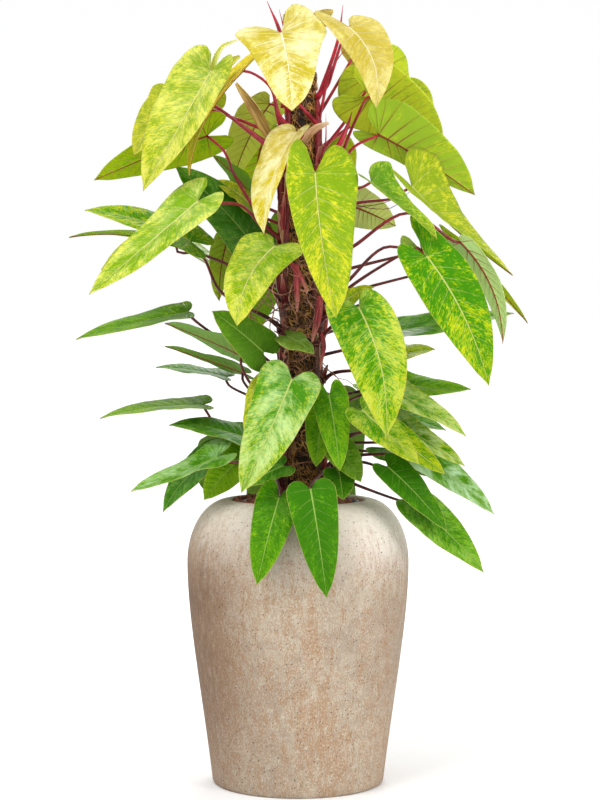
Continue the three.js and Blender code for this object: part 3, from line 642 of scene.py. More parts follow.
def sheath_skin(name, dark, light, pale, roughness):
    """Lengthwise streaks that go pale towards the torn end; the mark "tone" holds the piece's own
    number, the share of its length and the share of its girth"""
    skin = Skin(name)
    own, along, around = skin.parts(skin.mark("tone"))
    place = skin.joined(skin.scaled(around, 12), skin.scaled(along, 2.5), skin.scaled(own, 31))
    streaks = skin.noise(place, 1, 3, 0.6)
    streaked = skin.mix(skin.step(streaks, 0.36, 0.64), colour(*dark), colour(*light))
    skin.finish(skin.mix(skin.step(along, 0.5, 1, 0, 0.65), streaked, colour(*pale)), roughness, 0.3)
    skin.bump(streaks, 0.6, 0.0008)
    return skin.material


def stone_skin():
    """Sandy stone with brown crumbly patches gathered in upright runs and dark pits. Painted light makes the
    shoulder paler and whitens its right side; painted shade darkens both flanks, the left one most, and
    browns the left one
    """
    skin = Skin("planter_stone")
    place = skin.place()
    side, _depth, height = skin.parts(place)
    clouds = skin.mottled(6, 48, 0.14, colour(0.32, 0.25, 0.185), colour(0.44, 0.37, 0.28))
    runs = skin.noise(skin.stretched(place, 17, 17, 5), 1, 3, 0.55)
    patches = skin.noise(skin.stretched(place, 95, 95, 40), 1, 4, 0.7)
    crumbs = skin.noise(skin.stretched(place, 480, 480, 260), 1, 3, 0.7)
    drips = skin.noise(skin.stretched(place, 130, 130, 14), 1, 3, 0.6)

    # Painted top light: the shoulder turns paler, standing in for light from overhead
    painted_top_light = skin.step(skin.scaled(runs, 0.06, height), 0.38, 0.55)
    top_lit_colour = skin.mix(skin.scaled(painted_top_light, 0.8), clouds["Colour"], colour(0.72, 0.66, 0.57))
    # Painted highlight: the right of the shoulder is whitened, where the leaves would shade it
    painted_shoulder_highlight = skin.scaled(painted_top_light, skin.step(side, 0.08, 0.18, 0, 0.7))
    shoulder = skin.mix(painted_shoulder_highlight, top_lit_colour, colour(0.98, 0.90, 0.84))

    # Painted shade on both flanks, the left one most and less near the foot; it also makes the left flank
    # browner
    painted_left_shade = skin.scaled(skin.step(side, -0.03, -0.21, 0, 0.9), skin.step(height, 0, 0.16, 0.5, 1))
    painted_right_shade = skin.step(side, 0.10, 0.21, 0, 0.3)
    gathered = skin.scaled(runs, 0.24, skin.scaled(patches, 0.26))
    crumbled = skin.scaled(crumbs, 0.32, skin.scaled(drips, 0.18, gathered))
    stain_and_painted_shade = skin.scaled(painted_left_shade, 0.09, skin.scaled(painted_top_light, -0.03, crumbled))
    # The brown patches fade under the painted top light
    fading = skin.scaled(painted_top_light, -0.45, 1)
    browned_and_shaded = skin.mix(skin.scaled(skin.step(stain_and_painted_shade, 0.455, 0.58, 0, 0.75), fading), shoulder,
                       colour(0.34, 0.19, 0.09))
    lightened = skin.mix(skin.step(crumbs, 0.50, 0.38, 0, 0.4), browned_and_shaded, colour(0.66, 0.58, 0.47))
    # The painted flank shade is kept off the shoulder, made patchy and laid on as dark brown
    painted_flank_shade = skin.scaled(skin.added(painted_left_shade, painted_right_shade), skin.less(1, painted_top_light))
    uneven = skin.scaled(painted_flank_shade, skin.step(patches, 0.25, 0.7, 0.75, 1.15))
    with_painted_flank_shade = skin.mix(uneven, lightened, colour(0.16, 0.095, 0.058))

    pits = skin.put("ShaderNodeTexVoronoi", {"Vector": place, "Scale": 200, "Randomness": 1})
    pit_size = skin.step(skin.parts(pits.outputs["Color"])[0], 0.3, 1, 0, 0.27)
    pit = skin.step(skin.less(pit_size, pits.outputs["Distance"]), 0, 0.05)
    pitted = skin.mix(skin.scaled(pit, 0.85), with_painted_flank_shade, colour(0.06, 0.035, 0.02))
    skin.finish(pitted, skin.step(crumbs, 0.3, 0.7, 0.7, 0.88), 0.3)
    relief = skin.less(skin.scaled(crumbs, 0.5), skin.scaled(pit, 0.7))
    skin.bump(skin.scaled(patches, 0.3, relief), 0.6, 0.0014)
    return skin.material


def clay_skin():
    skin = Skin("clay_granules")
    mottled = skin.mottled(95, 900, 0.15, colour(0.20, 0.06, 0.035), colour(0.50, 0.20, 0.12))
    skin.finish(mottled["Colour"], 0.88)
    skin.bump(mottled["Value"], 0.6, 0.0008)
    return skin.material


def black_plastic_skin():
    skin = Skin("black_plastic")
    scuffs = skin.noise(skin.place(), 130, 4, 0.6)
    worn = skin.mix(skin.step(scuffs, 0.4, 0.75), colour(0.012, 0.012, 0.013), colour(0.03, 0.03, 0.032))
    skin.finish(worn, skin.step(scuffs, 0.3, 0.7, 0.36, 0.5))
    skin.bump(scuffs, 0.2, 0.0004)
    return skin.material


STALK = vine_skin("stalk", (18, 160, 0.12, colour(0.22, 0.004, 0.018), colour(0.48, 0.018, 0.04)),
                  (22, 190, 0.12, colour(0.035, 0.007, 0.007), colour(0.14, 0.022, 0.020)),
                  0.84, 1.25, 0.3, 0.35, 0.25, 0.0006)
STEM = vine_skin("vine_stem", (25, 210, 0.1, colour(0.14, 0.008, 0.016), colour(0.33, 0.030, 0.035)),
                 (25, 210, 0.1, colour(0.024, 0.010, 0.008), colour(0.15, 0.062, 0.040)),
                 0.8, 1.2, 0.45, 0.3, 0.5, 0.001)
STONE = stone_skin()
CLAY = clay_skin()
BLACK_PLASTIC = black_plastic_skin()
COIR = fibre_skin("coir", (0.05, 0.014, 0.005), (1, 0.53, 0.14), 0.85, 0.001)
# The sleeve's body is near black: painted shade for the gaps between the strands
SHADED_COIR_CORE = fibre_skin("shaded_coir_core", (0.009, 0.004, 0.002), (0.06, 0.027, 0.012), 0.9, 0.001)
ROOT = fibre_skin("root", (0.05, 0.010, 0.009), (0.58, 0.26, 0.15), 0.6, 0.0006)
SOIL = fibre_skin("soil", (0.02, 0.012, 0.008), (0.075, 0.045, 0.028), 0.95, 0.002, 70, 600)
STAKE_WOOD = fibre_skin("stake_wood", (0.30, 0.18, 0.09), (0.50, 0.34, 0.18), 0.7, 0.0005, 20, 180)
PINK_HUSK = sheath_skin("pink_husk", (0.14, 0.010, 0.016), (0.48, 0.07, 0.07), (0.62, 0.28, 0.20), 0.42)
DRY_HUSK = sheath_skin("dry_husk", (0.50, 0.26, 0.12), (0.80, 0.54, 0.32), (0.84, 0.64, 0.44), 0.6)
TAN_CURL = sheath_skin("tan_curl", (0.26, 0.12, 0.03), (0.52, 0.36, 0.09), (0.66, 0.50, 0.16), 0.5)
OLIVE_CURL = sheath_skin("olive_curl", (0.34, 0.34, 0.02), (0.64, 0.66, 0.05), (0.78, 0.78, 0.16), 0.45)
PALE_CURL = sheath_skin("pale_curl", (0.62, 0.68, 0.10), (0.88, 0.90, 0.30), (0.95, 0.92, 0.45), 0.45)


# Leaves. A margin point is (share of the length from the notch, share of the half width), and each ray
# of the blade runs from its start on the midrib to the margin.
MARGIN = [(-0.15, 0.25), (-0.2, 0.52), (-0.14, 0.82), (0.02, 1), (0.22, 0.94), (0.44, 0.82), (0.66, 0.63),
          (0.86, 0.34), (0.95, 0.12), (1, 0)]
RAY_START = [0, 0, 0, 0, 0.09, 0.27, 0.5, 0.76, 0.9, 1]
STEPS = [0.03, 0.085, 0.17, 0.28, 0.4, 0.53, 0.66, 0.78, 0.88, 0.955, 1]
LAST_BASAL_RAY = 3
BASAL_VEINS = 4
SIDE_VEINS = 11
RAYS_PER_VEIN = 4
PAINT_SEED = 900


# Fold, crown, arch, sweep and twist bend a blade, and lobes, belly, lean and uneven shape its outline.
# Rise and bends are for its petiole.
PLAIN_FORM = {
    "fold": 0.18, "crown": 0.1, "arch": 0.06, "sweep": 0, "twist": 0, "lobes": 1, "belly": 0, "lean": 0,
    "uneven": 0, "rise": 20, "bends": [],
}


def leaf(name, vine, bud, notch, tip, looks, width, tone, **form):
    """One leaf: its vine, the row of its bud, where its notch and tip are, where its upper side looks, and
    what sets it apart from a plain one. Paint is how gold it is, how much painted sheen it carries and how
    dark it is, and skin is its finish where that isn't the one of its tone."""
    return {"name": name, "vine": vine, "bud": bud, "notch": notch, "tip": tip, "looks": looks,
            "width": width, "tone": tone, **PLAIN_FORM, **form}


LEAVES = [
    # Crown
    leaf("crown_cream", "a", 112, (281, 33, 180), (292, 111, 262), (0.06, -0.87, 0.48), 164, CREAM, fold=0.1,
         lobes=1.45, sweep=-0.02, belly=-0.24, uneven=-0.6, paint=(0, 0.4, 0.2)),
    leaf("crown_gold", "b", 98, (349, 27, 105), (376, 108, 150), (0.1, -0.8, 0.55), 88, CREAM, fold=0.25,
         lobes=1.05, sweep=-0.12, twist=-35, lean=-0.08, uneven=0.4, bends=[(332, 72, 60)],
         paint=(0.65, 0.15, 0.3)),
    leaf("cream_white", "a", 176, (297, 132, 120), (264, 234, 150), (-0.8, -0.6, 0.2), 104, CREAM, lobes=0.4,
         sweep=0.06, lean=0.35, paint=(0, 0.5, 0.2), skin=BUTTER),
    # Left side, upper
    leaf("lime_upper_left", "c", 160, (211, 71, 110), (143, 191, 140), (-0.45, -0.7, 0.45), 124, LIME,
         fold=0.3, lobes=0.85, sweep=-0.06, belly=0.2, lean=0.12, bends=[(232, 118, 25), (206, 96, 44)],
         paint=(0.2, 0.25, 0.1)),
    leaf("yellow_edge_left", "a", 128, (243, 71, 104), (189, 176, 138), (-0.85, -0.3, 0.3), 86, CREAM,
         fold=0.35, sweep=0.14, bends=[(271, 88, 60)], paint=(0, 0, 0.4), skin=BUTTER),
    leaf("olive_behind_left", "e", 150, (172, 98, 68), (134, 155, 62), (-0.3, -0.7, 0.6), 100, LIME,
         lobes=0.6, paint=(0.35, 0, 0.4)),
    leaf("green_far_left", "c", 240, (207, 136, 24), (94, 180, 36), (-0.15, 0.7, 0.7), 112, GREEN, arch=0.02,
         lobes=1, bends=[(235, 176, 30), (224, 151, 30)], paint=(0.1, 0, -1)),
    leaf("lime_back_left", "e", 190, (270, 104, -120), (232, 184, -200), (-0.7, 0.65, 0.4), 130, LIME,
         lobes=0.8, paint=(0, 0.3, -1)),
    leaf("small_green_left", "e", 225, (248, 192, -70), (212, 155, -90), (0.3, 0.6, 0.7), 56, DARK),
    leaf("small_olive_left", "e", 235, (250, 204, -30), (214, 180, -45), (0.2, -0.5, 0.8), 62, LIME),
    # Left side, middle
    leaf("lime_front_left", "c", 255, (198, 201, 160), (89, 294, 205), (-0.3, -0.75, 0.6), 100, LIME, arch=0,
         lobes=0.8, bends=[(262, 228, 70), (240, 205, 110)], paint=(0, 0.3, 0.5)),
    leaf("dark_behind_left", "e", 290, (252, 243, -40), (175, 166, -20), (-0.35, -0.55, 0.75), 105, DARK),
    leaf("green_long_left", "c", 300, (190, 241, 72), (85, 210, 50), (-0.15, -0.4, 0.9), 112, GREEN,
         bends=[(229, 265, 55)]),
    leaf("thin_far_left", "c", 330, (176, 245, -40), (69, 237, -30), (0, 0.1, 1), 92, GREEN,
         bends=[(221, 292, -10), (200, 254, -35)]),
    leaf("curled_left", "e", 300, (200, 254, -128), (101, 270, -115), (-0.4, -0.4, 0.85), 92, LIME,
         arch=0.24),
    leaf("yellow_hanging_left", "e", 280, (228, 238, -70), (219, 301, -90), (-0.6, 0.6, 0.2), 70, LIME),
    leaf("painted_centre_left", "a", 300, (275, 246, 150), (237, 326, 200), (-0.1, -0.75, 0.65), 117, LIME,
         lobes=0.55, sweep=0.09, belly=-0.05, paint=(0, 0.2, 0.25)),
    # Left side, lower
    leaf("green_reaching_left", "c", 356, (188, 312, 60), (76, 339, 70), (-0.1, -0.35, 0.95), 96, DARK,
         arch=0.015, lobes=0.25, bends=[(227, 341, 55)], paint=(0.08, 0, -0.3)),
    leaf("mid_left_high", "c", 400, (242, 356, 70), (165, 323, 15), (0.1, 0.45, 0.9), 96, DARK, arch=0.015,
         lobes=0.6, bends=[(252, 385, 55)], paint=(0.25, 0.3, -0.8)),
    leaf("mid_left", "c", 420, (243, 373, -35), (165, 346, -62), (0.1, 0.3, 0.9), 84, DARK, arch=0.01,
         lobes=0.6),
    leaf("mid_left_low", "e", 425, (226, 377, -110), (156, 367, -125), (0, -0.2, 1), 84, DARK, arch=0.03,
         lobes=0.5),
    leaf("round_left", "a", 380, (263, 352, 115), (212, 311, 140), (-0.3, -0.75, 0.55), 80, DARK,
         paint=(0.08, 0, 1)),
    leaf("flat_left", "c", 455, (203, 405, 15), (100, 418, 25), (0, -0.22, 1), 100, DARK, arch=0.04,
         lobes=0.5, bends=[(222, 431, 5)], paint=(0.1, 0, -0.7)),
    leaf("dark_low_left", "c", 482, (252, 440, 48), (169, 425, 40), (-0.1, -0.34, 0.9), 98, DARK),
    leaf("drooping_low_left", "a", 470, (218, 457, 95), (131, 491, 105), (-0.1, -0.45, 0.85), 92, DARK,
         fold=0.3, arch=-0.01, belly=-0.3, paint=(0, 0.5, -0.8)),
    leaf("lowest_left", "e", 478, (222, 452, -35), (163, 512, -20), (-0.5, -0.6, 0.6), 95, DARK, sweep=0.06),
    leaf("low_left_inner", "a", 488, (243, 456, 34), (204, 500, 50), (-0.2, -0.8, 0.5), 84, DARK,
         paint=(0, 0, -1.4)),
    # Front
    leaf("painted_front_large", "b", 235, (315, 173, 225), (336, 318, 270), (0.5, -0.9, 0.4), 144, LIME,
         fold=0.2, lobes=1.15, sweep=0.06, belly=-0.05, lean=-0.12, uneven=0.1, paint=(0.12, 0, 0.6)),
    leaf("painted_front_right", "b", 345, (358.5, 307, 215), (386.5, 437, 250), (-0.1, -0.85, 0.4), 108,
         GREEN, lobes=0.65, sweep=-0.07, belly=0.15, lean=0.06, paint=(0, 0.12, -0.2)),
    leaf("painted_front_low", "a", 430, (292, 379, 165), (241, 493, 215), (-0.15, -0.85, 0.45), 117, LIME,
         lobes=0.55, sweep=-0.03, paint=(0, 0.5, -0.1), skin=GREEN),
    leaf("lime_behind_low", "a", 445, (268, 385, 105), (250, 448, 130), (-0.5, -0.8, 0.2), 72, LIME),
    leaf("folded_centre", "a", 375, (287, 336, 130), (314, 354, 150), (0.1, -0.5, 0.85), 62, DARK, fold=0.15,
         crown=0.3, paint=(0.2, 0.1, 0.6)),
    leaf("green_inner_right", "b", 425, (329, 395, 150), (340, 471, 175), (0.1, -0.9, 0.3), 66, DARK, rise=38,
         paint=(0, 0, -0.5)),
    leaf("dark_inner_right", "a", 405, (322, 416, 112), (316, 467, 125), (-0.1, -0.95, 0.1), 58, DARK,
         paint=(0, 0, -0.7)),
    leaf("dark_low_right", "b", 488, (338, 448, 100), (361, 482, 118), (0.2, -0.85, 0.4), 62, DARK,
         paint=(0, 0.1, -1)),
    leaf("hanging_front_left", "a", 485, (279, 498, 195), (257, 585, 235), (-0.1, -0.9, 0.35), 80, DARK,
         fold=0.1, paint=(0, 0, 0)),
    leaf("hanging_front", "b", 480, (310.5, 489, 215), (326.5, 598, 255), (0.1, -0.9, 0.35), 88, DARK,
         fold=0.1, lobes=0.45, paint=(0, 0, 0.8)),
    leaf("low_front", "a", 480, (283, 466, 110), (246, 487, 130), (-0.1, -0.6, 0.7), 60, DARK),
    leaf("round_low_right", "d", 493, (339, 472, 95), (343, 500, 125), (0.1, -0.8, 0.5), 60, DARK,
         paint=(0, 0, 0.5)),
    # Right side, upper
    leaf("lime_top_right", "f", 165, (373, 75, -60), (404, 158, -165), (-0.35, 0.95, 0.3), 150, LIME,
         lobes=1.2, bends=[(352, 112, -50)], paint=(0, 0.1, -0.5)),
    leaf("lime_top_right_near", "d", 185, (370, 97, 10), (444, 144, 0), (0.1, 0.8, 0.5), 150, LIME, lobes=1.7,
         bends=[(352, 128, 25)], paint=(0, 0.1, -0.7)),
    leaf("lime_large_right", "d", 190, (378, 135, 50), (475, 195, 40), (0.1, 0.75, 0.65), 118, LIME,
         arch=0.04, lean=0.4, bends=[(354, 147, 45)], paint=(0, 0.1, 1)),
    leaf("narrow_right", "b", 215, (371, 182, 170), (437, 238, 200), (0.3, -0.6, 0.75), 90, GREEN, fold=0.7,
         arch=0.02, lobes=0.7, belly=-0.55, paint=(0.12, 0.05, 0.3)),
    leaf("lime_far_right", "d", 225, (412, 187, 96), (513, 275, 100), (0.3, -0.6, 0.7), 116, LIME, fold=0.45,
         arch=-0.03, sweep=0, twist=42, belly=-0.3, lean=-0.45, bends=[(357, 203, 50), (390, 199, 45)],
         paint=(0.25, 0, 0.6)),
    leaf("pale_hanging_right", "d", 270, (460, 242, 160), (503, 344, 130), (0.6, 0.75, 0.3), 46, GREEN,
         lobes=0.3, sweep=0.08, belly=0.2, bends=[(354, 246, 60), (407, 213, 108)], paint=(0, 1, -1.4)),
    leaf("thin_far_right", "f", 290, (452, 242, -70), (528, 323, -90), (0.4, 0.35, 0.85), 52, LIME,
         arch=0.02),
    leaf("pale_behind_right", "f", 260, (352, 206, -70), (396, 226, -90), (0.3, 0.85, 0.2), 84, LIME,
         paint=(0, 1, -0.6)),
    # Right side, middle
    leaf("painted_large_right", "d", 305, (427, 256.5, 190), (489, 386, 225), (0.05, -0.85, 0.45), 100, GREEN,
         lobes=1.2, sweep=-0.035, belly=0.22, lean=0.02, uneven=-0.35,
         bends=[(348, 281, 70), (386, 247, 135)], paint=(0, 0, 0.4)),
    leaf("leaf_behind_large", "d", 318, (421, 250, 95), (462, 345, 120), (0.2, 0.75, 0.4), 72, GREEN,
         bends=[(350, 287, 60)], paint=(0.1, 0.3, -1)),
    leaf("lime_sliver_right", "b", 330, (344, 302, 160), (374, 287, 165), (0.1, -0.5, 0.85), 52, LIME),
    leaf("long_right", "f", 370, (394, 331, -30), (514, 313, -60), (0, -0.4, 0.9), 92, DARK, arch=0),
    leaf("short_right_high", "d", 385, (376, 360, 100), (435, 349, 120), (0, -0.45, 0.9), 86, GREEN,
         arch=0.02),
    # Right side, lower
    leaf("fan_right_top", "d", 410, (378, 380, 60), (471, 389, 70), (0.15, -0.5, 0.9), 92, DARK, arch=-0.03,
         paint=(0, 0, -0.7)),
    leaf("fan_right_second", "b", 420, (376, 386, 120), (466, 436, 140), (0.3, -0.5, 0.8), 92, GREEN,
         arch=0.06, paint=(0, 0.4, -0.2)),
    leaf("fan_right_third", "f", 440, (370, 404, -30), (446, 430, -30), (0.2, -0.45, 0.85), 84, DARK, arch=0),
    leaf("lime_low_right", "b", 440, (362, 410, 185), (419, 464, 215), (0.1, -0.8, 0.55), 74, LIME, arch=0.02,
         lobes=0.7, paint=(0, 0.1, -0.2), skin=GREEN),
    leaf("lime_low_right_behind", "b", 450, (384, 428, 150), (445, 474, 165), (0.1, -0.8, 0.55), 60, LIME,
         arch=0.02, paint=(0, 0, 0), skin=GREEN),
    leaf("fan_right_fourth", "d", 455, (388, 420, 95), (465, 466, 100), (0.2, -0.65, 0.75), 72, DARK,
         arch=0.03, paint=(0, 0.6, -0.3), skin=GREEN),
    leaf("dark_fan_right", "f", 462, (386, 448, -20), (465, 490, -20), (0.1, -0.6, 0.8), 84, DARK),
    leaf("long_low_right", "d", 470, (412, 450, 55), (494, 514, 65), (0.2, -0.65, 0.7), 82, DARK, arch=0.05,
         paint=(0, 1, -0.8)),
    leaf("dark_low_right_front", "b", 478, (388, 467, 130), (447, 531, 150), (0.2, -0.75, 0.6), 68, DARK,
         arch=0.05, lobes=0.7, bends=[(359, 462, 66)], paint=(0, 0, 0.8)),
    leaf("lowest_right", "d", 488, (410, 501, 115), (484, 573, 125), (0.15, -0.75, 0.6), 68, DARK, arch=0,
         lobes=0.5, sweep=-0.04, belly=0.3, bends=[(359, 486, 85)], paint=(0, 0.1, -0.6)),
    # Back, where the foliage goes on round the pole
    leaf("back_crown", "e", 130, (309, 16, 20), (298, 56, -125), (-0.1, 0.5, 0.85), 92, CREAM, lobes=1.2,
         bends=[(286, 70, -70)]),
    leaf("back_crown_right", "f", 128, (358, 50, -70), (376, 98, -135), (0.2, 0.8, 0.5), 66, CREAM),
    leaf("back_upper", "f", 185, (325, 150, -150), (332, 240, -205), (0.1, 0.9, 0.4), 118, LIME),
    leaf("back_upper_left", "e", 215, (262, 140, -200), (250, 225, -260), (-0.2, 0.8, 0.5), 112, LIME),
    leaf("back_far_right", "f", 160, (400, 96, -150), (424, 176, -205), (0.3, 0.8, 0.5), 118, LIME),
    leaf("back_far_left", "e", 165, (202, 100, -70), (170, 165, -130), (-0.4, 0.7, 0.5), 108, LIME),
    leaf("back_middle", "f", 270, (300, 225, -160), (292, 310, -215), (0, 0.9, 0.4), 118, GREEN),
    leaf("back_middle_right", "f", 350, (366, 322, -130), (380, 410, -200), (0.2, 0.85, 0.4), 112, GREEN),
    leaf("back_middle_left", "e", 330, (262, 268, -150), (246, 345, -215), (-0.2, 0.85, 0.4), 112, GREEN),
    leaf("back_outer_right", "f", 315, (440, 268, -110), (468, 345, -180), (0.4, 0.7, 0.5), 100, GREEN),
    leaf("back_low", "e", 410, (285, 386, -160), (268, 470, -230), (-0.1, 0.85, 0.45), 116, DARK),
    leaf("back_low_right", "f", 430, (335, 402, -140), (350, 486, -210), (0.2, 0.85, 0.4), 106, DARK),
    leaf("back_low_far_left", "e", 458, (226, 440, -110), (205, 492, -190), (-0.3, 0.6, 0.7), 100, DARK),
    leaf("back_low_far_right", "f", 460, (404, 436, -100), (446, 478, -170), (0.3, 0.5, 0.8), 100, DARK),
    leaf("back_hanging_left", "e", 484, (272, 480, -195), (258, 560, -240), (-0.1, 0.9, 0.35), 92, DARK),
    leaf("back_hanging_right", "f", 486, (330, 480, -195), (346, 566, -245), (0.1, 0.9, 0.35), 92, DARK),
]


def own_paint(leaf, number):
    """How gold a leaf is, how much painted sheen it carries and how dark it is"""
    dice = random.Random(PAINT_SEED + number)
    return leaf.get("paint", (0, dice.uniform(0, 0.15), dice.uniform(-0.3, 0.6)))


def leaf_axes(leaf):
    notch = seen(*leaf["notch"])
    along = seen(*leaf["tip"]) - notch
    length = along.length
    along.normalize()
    up = Vector(leaf["looks"])
    up = (up - along * up.dot(along)).normalized()
    return notch, along, up, along.cross(up), length


def half_width(leaf, share, side):
    """A lean makes the half of positive across wider and the other half narrower"""
    swell = 1 + leaf["belly"] * max(0, 4 * share * (1 - share))
    return leaf["width"] / 2 * swell * (1 + leaf["lean"] * side)


def blade_point(leaf, axes, along, across):
    """A point of the blade: along and across are shares of the length and the half width. An uneven
    leaf has a longer lobe on the half of positive across and a shorter one on the other."""
    notch, forwards, up, aside, length = axes
    side = (across > 0) - (across < 0)
    share = along * leaf["lobes"] * (1 + leaf["uneven"] * side) if along < 0 else along
    bend = 4 * share * (1 - 0.4 * share) if share < 0 else 4 * share * (1 - share)
    half = half_width(leaf, share, side)
    slope = math.sqrt(across * across + KEEL_SOFTNESS ** 2) - KEEL_SOFTNESS
    lift = half * (leaf["fold"] * slope - leaf["crown"] * across * across)
    wave = math.sin(WAVE_TURNS * share + (OTHER_WAVE if across > 0 else 0))
    lift += WAVE_HEIGHT * across * across * wave
    turn = math.radians(leaf["twist"]) * max(share, 0)
    sideways = half * across * math.cos(turn) - lift * math.sin(turn)
    upwards = half * across * math.sin(turn) + lift * math.cos(turn)
    return (notch + forwards * (length * share)
            + up * (length * leaf["arch"] * bend + upwards)
            + aside * (length * leaf["sweep"] * bend + sideways))


def through(values, place):
    """A smooth run through a list of numbers, at a place between them"""
    index = min(int(place), len(values) - 2)
    share = place - index
    before = values[max(index - 1, 0)]
    start = values[index]
    end = values[index + 1]
    after = values[min(index + 2, len(values) - 1)]
    return 0.5 * (
        2 * start + (end - before) * share
        + (2 * before - 5 * start + 4 * end - after) * share ** 2
        + (3 * start - before - 3 * end + after) * share ** 3
    )


def straight(values, place):
    index = min(int(place), len(values) - 2)
    return blend(values[index], values[index + 1], place - index)


def ray_place(count):
    """Where the ray of a side vein, or of a place between two veins, ends along the margin"""
    if count <= BASAL_VEINS:
        return LAST_BASAL_RAY * count / BASAL_VEINS
    start = (count - BASAL_VEINS) / SIDE_VEINS
    at = LAST_BASAL_RAY
    while at < len(RAY_START) - 2 and RAY_START[at + 1] < start:
        at += 1
    return at + (start - RAY_START[at]) / (RAY_START[at + 1] - RAY_START[at])


def blade_shape(leaf, number):
    """A blade with its marks, point by point along rays that run from the midrib to the margin"""
    axes = leaf_axes(leaf)
    _notch, _forwards, up, _aside, length = axes
    dice = random.Random(number)
    ruffle = Vector(dice.uniform(0, 50) for _axis in range(3))
    points = []
    veins = []
    places = []
    puffs = []

    def add(along, across, count, step, reach):
        point = blade_point(leaf, axes, along, across)
        curl = noise.noise(ruffle + Vector((along * 4, across * 1.8, 0)))
        crimp = noise.noise(ruffle + Vector((along * 11, across * 3, 9)))
        point += up * ((EDGE_CURL * curl + EDGE_CRIMP * crimp) * across * across)
        points.append(point)
        veins.append((count, step, number))
        rib_half = blend(*RIB_HALF_WIDTHS, min(max(along, 0), 1) ** 0.8)
        places.append((leaf["width"] / 2 * abs(across) / rib_half, reach * (1 - step)))
        puffs.append(QUILT * leaf["width"] * abs(math.sin(math.pi * count)) * math.sin(math.pi * step ** 0.7))
        return len(points) - 1

    all_veins = BASAL_VEINS + SIDE_VEINS
    notch = add(0, 0, 0, 0, FAR_FROM_MARGIN)
    tip = add(1, 0, all_veins, 1, 0)
    counts = [ray / RAYS_PER_VEIN for ray in range(all_veins * RAYS_PER_VEIN)]
    starts = []
    for count in counts:
        start = straight(RAY_START, ray_place(count))
        starts.append(notch if start == 0 else add(start, 0, count, 0, FAR_FROM_MARGIN))
    faces = []
    sides = []
    for hand in (1, -1):
        chains = []
        for count, first in zip(counts, starts):
            place = ray_place(count)
            start = straight(RAY_START, place)
            end_along, end_across = (through(run, place) for run in zip(*MARGIN))
            end_across = max(end_across, 0)
            reach = math.hypot((end_along - start) * length, end_across * leaf["width"] / 2)
            chain = [first]
            for step in STEPS:
                on_half = count + (OTHER_HALF if hand < 0 else 0)
                along = start + (end_along - start) * step ** 1.1
                chain.append(add(along, hand * end_across * step, on_half, step, reach))
            chains.append(chain)
        chains.append([tip] * (len(STEPS) + 1))
        for before, after in zip(chains, chains[1:]):
            for step in range(len(STEPS)):
                corners = [before[step], after[step], after[step + 1], before[step + 1]]
                face = [corner for at, corner in enumerate(corners) if corner != corners[at - 1]]
                if len(face) > 2:
                    faces.append(face[::-1] if hand > 0 else face)
        sides.append(chains[0][1:] + [chain[-1] for chain in chains[1:-1]])
    rim = [notch, *sides[0], tip, *sides[1][::-1]]
    upper, lower = both_sides(points, faces, places, puffs)
    return Shape(
        upper + lower, thickened(faces, rim, len(points)),
        vein=veins * 2,
        place=[(rib, margin, under) for under in (0, 1) for rib, margin in places],
        own=own_paint(leaf, number),
    )


def both_sides(points, faces, places, puffs):
    """The points of the upper and the lower side, with the midrib raised along the lower one"""
    normals = [Vector() for _point in points]
    for face in faces:
        normal = (points[face[1]] - points[face[0]]).cross(points[face[2]] - points[face[0]])
        for corner in face:
            normals[corner] += normal
    upper = []
    lower = []
    for point, normal, (from_rib, _from_margin), puff in zip(points, normals, places, puffs):
        out = normal.normalized()
        rib = RIB_HEIGHT * math.exp(-from_rib * from_rib)
        upper.append(point + out * (puff + BLADE_THICKNESS / 2 - RIB_GROOVE * rib))
        lower.append(point + out * (puff - BLADE_THICKNESS / 2 - rib))
    return upper, lower


def thickened(faces, rim, below):
    """The faces of both sides and of the rim between them"""
    skin = [tuple(face) for face in faces]
    skin += [tuple(below + corner for corner in reversed(face)) for face in faces]
    edges = {(face[at - 1], face[at]) for face in faces for at in range(len(face))}
    in_order = (rim[0], rim[1]) in edges
    for here, after in zip(rim, rim[1:] + rim[:1]):
        start, end = (here, after) if in_order else (after, here)
        skin.append((start, below + start, below + end, end))
    return skin


def make_blades():
    for number, one in enumerate(LEAVES, 1):
        node = vine_node(one["vine"]) if one["vine"] in WHOLE_VINES else "blade_" + one["name"]
        skin = LEAF_SKINS[one.get("skin", one["tone"])]
        put_down("leaf_" + one["name"], blade_shape(one, number), skin, LEAF_SLOTS[one["tone"]], node)


# Stalks and stems

def stalk_path(leaf):
    notch, along, up, _aside, _length = leaf_axes(leaf)
    foot = bud_point(leaf["vine"], leaf["bud"])
    outward = Vector((foot.x - POLE_CENTRE[0], foot.y - POLE_CENTRE[1], 0)).normalized()
    towards = notch - foot
    towards.z = 0
    first = foot + outward * PETIOLE_OUTWARD + towards.normalized() * PETIOLE_TOWARDS_LEAF
    first.z += leaf["rise"]
    end = notch - up * PETIOLE_SINK
    before = end - up * PETIOLE_UNDER_LEAF - along * PETIOLE_BEHIND_NOTCH
    return smooth_path([foot, first, *all_seen(leaf["bends"]), before, end], PETIOLE_STEPS)


def stalk_radius(share):
    """A petiole is swollen at its foot, where it clasps the vine, and has a knee below its leaf"""
    radius = blend(PETIOLE_FOOT_RADIUS, PETIOLE_TIP_RADIUS, math.sqrt(share))
    clasp = CLASP_SWELL * math.exp(-share / CLASP_REACH)
    knee = KNEE_SWELL * math.exp(-((share - KNEE_PLACE) / KNEE_REACH) ** 2)
    return radius + clasp + knee


def vine_node(vine):
    return ("leafy_vine_" if vine in WHOLE_VINES else "vine_") + vine


def make_stalks(vine):
    shape = Shape()
    radii = [stalk_radius(share) for share in shares(PETIOLE_STEPS)]
    for one in LEAVES:
        if one["vine"] == vine:
            shape.add(*tube(stalk_path(one), radii, PETIOLE_SIDES))
    put_down("stalks_" + vine, shape, STALK, "stem", vine_node(vine))


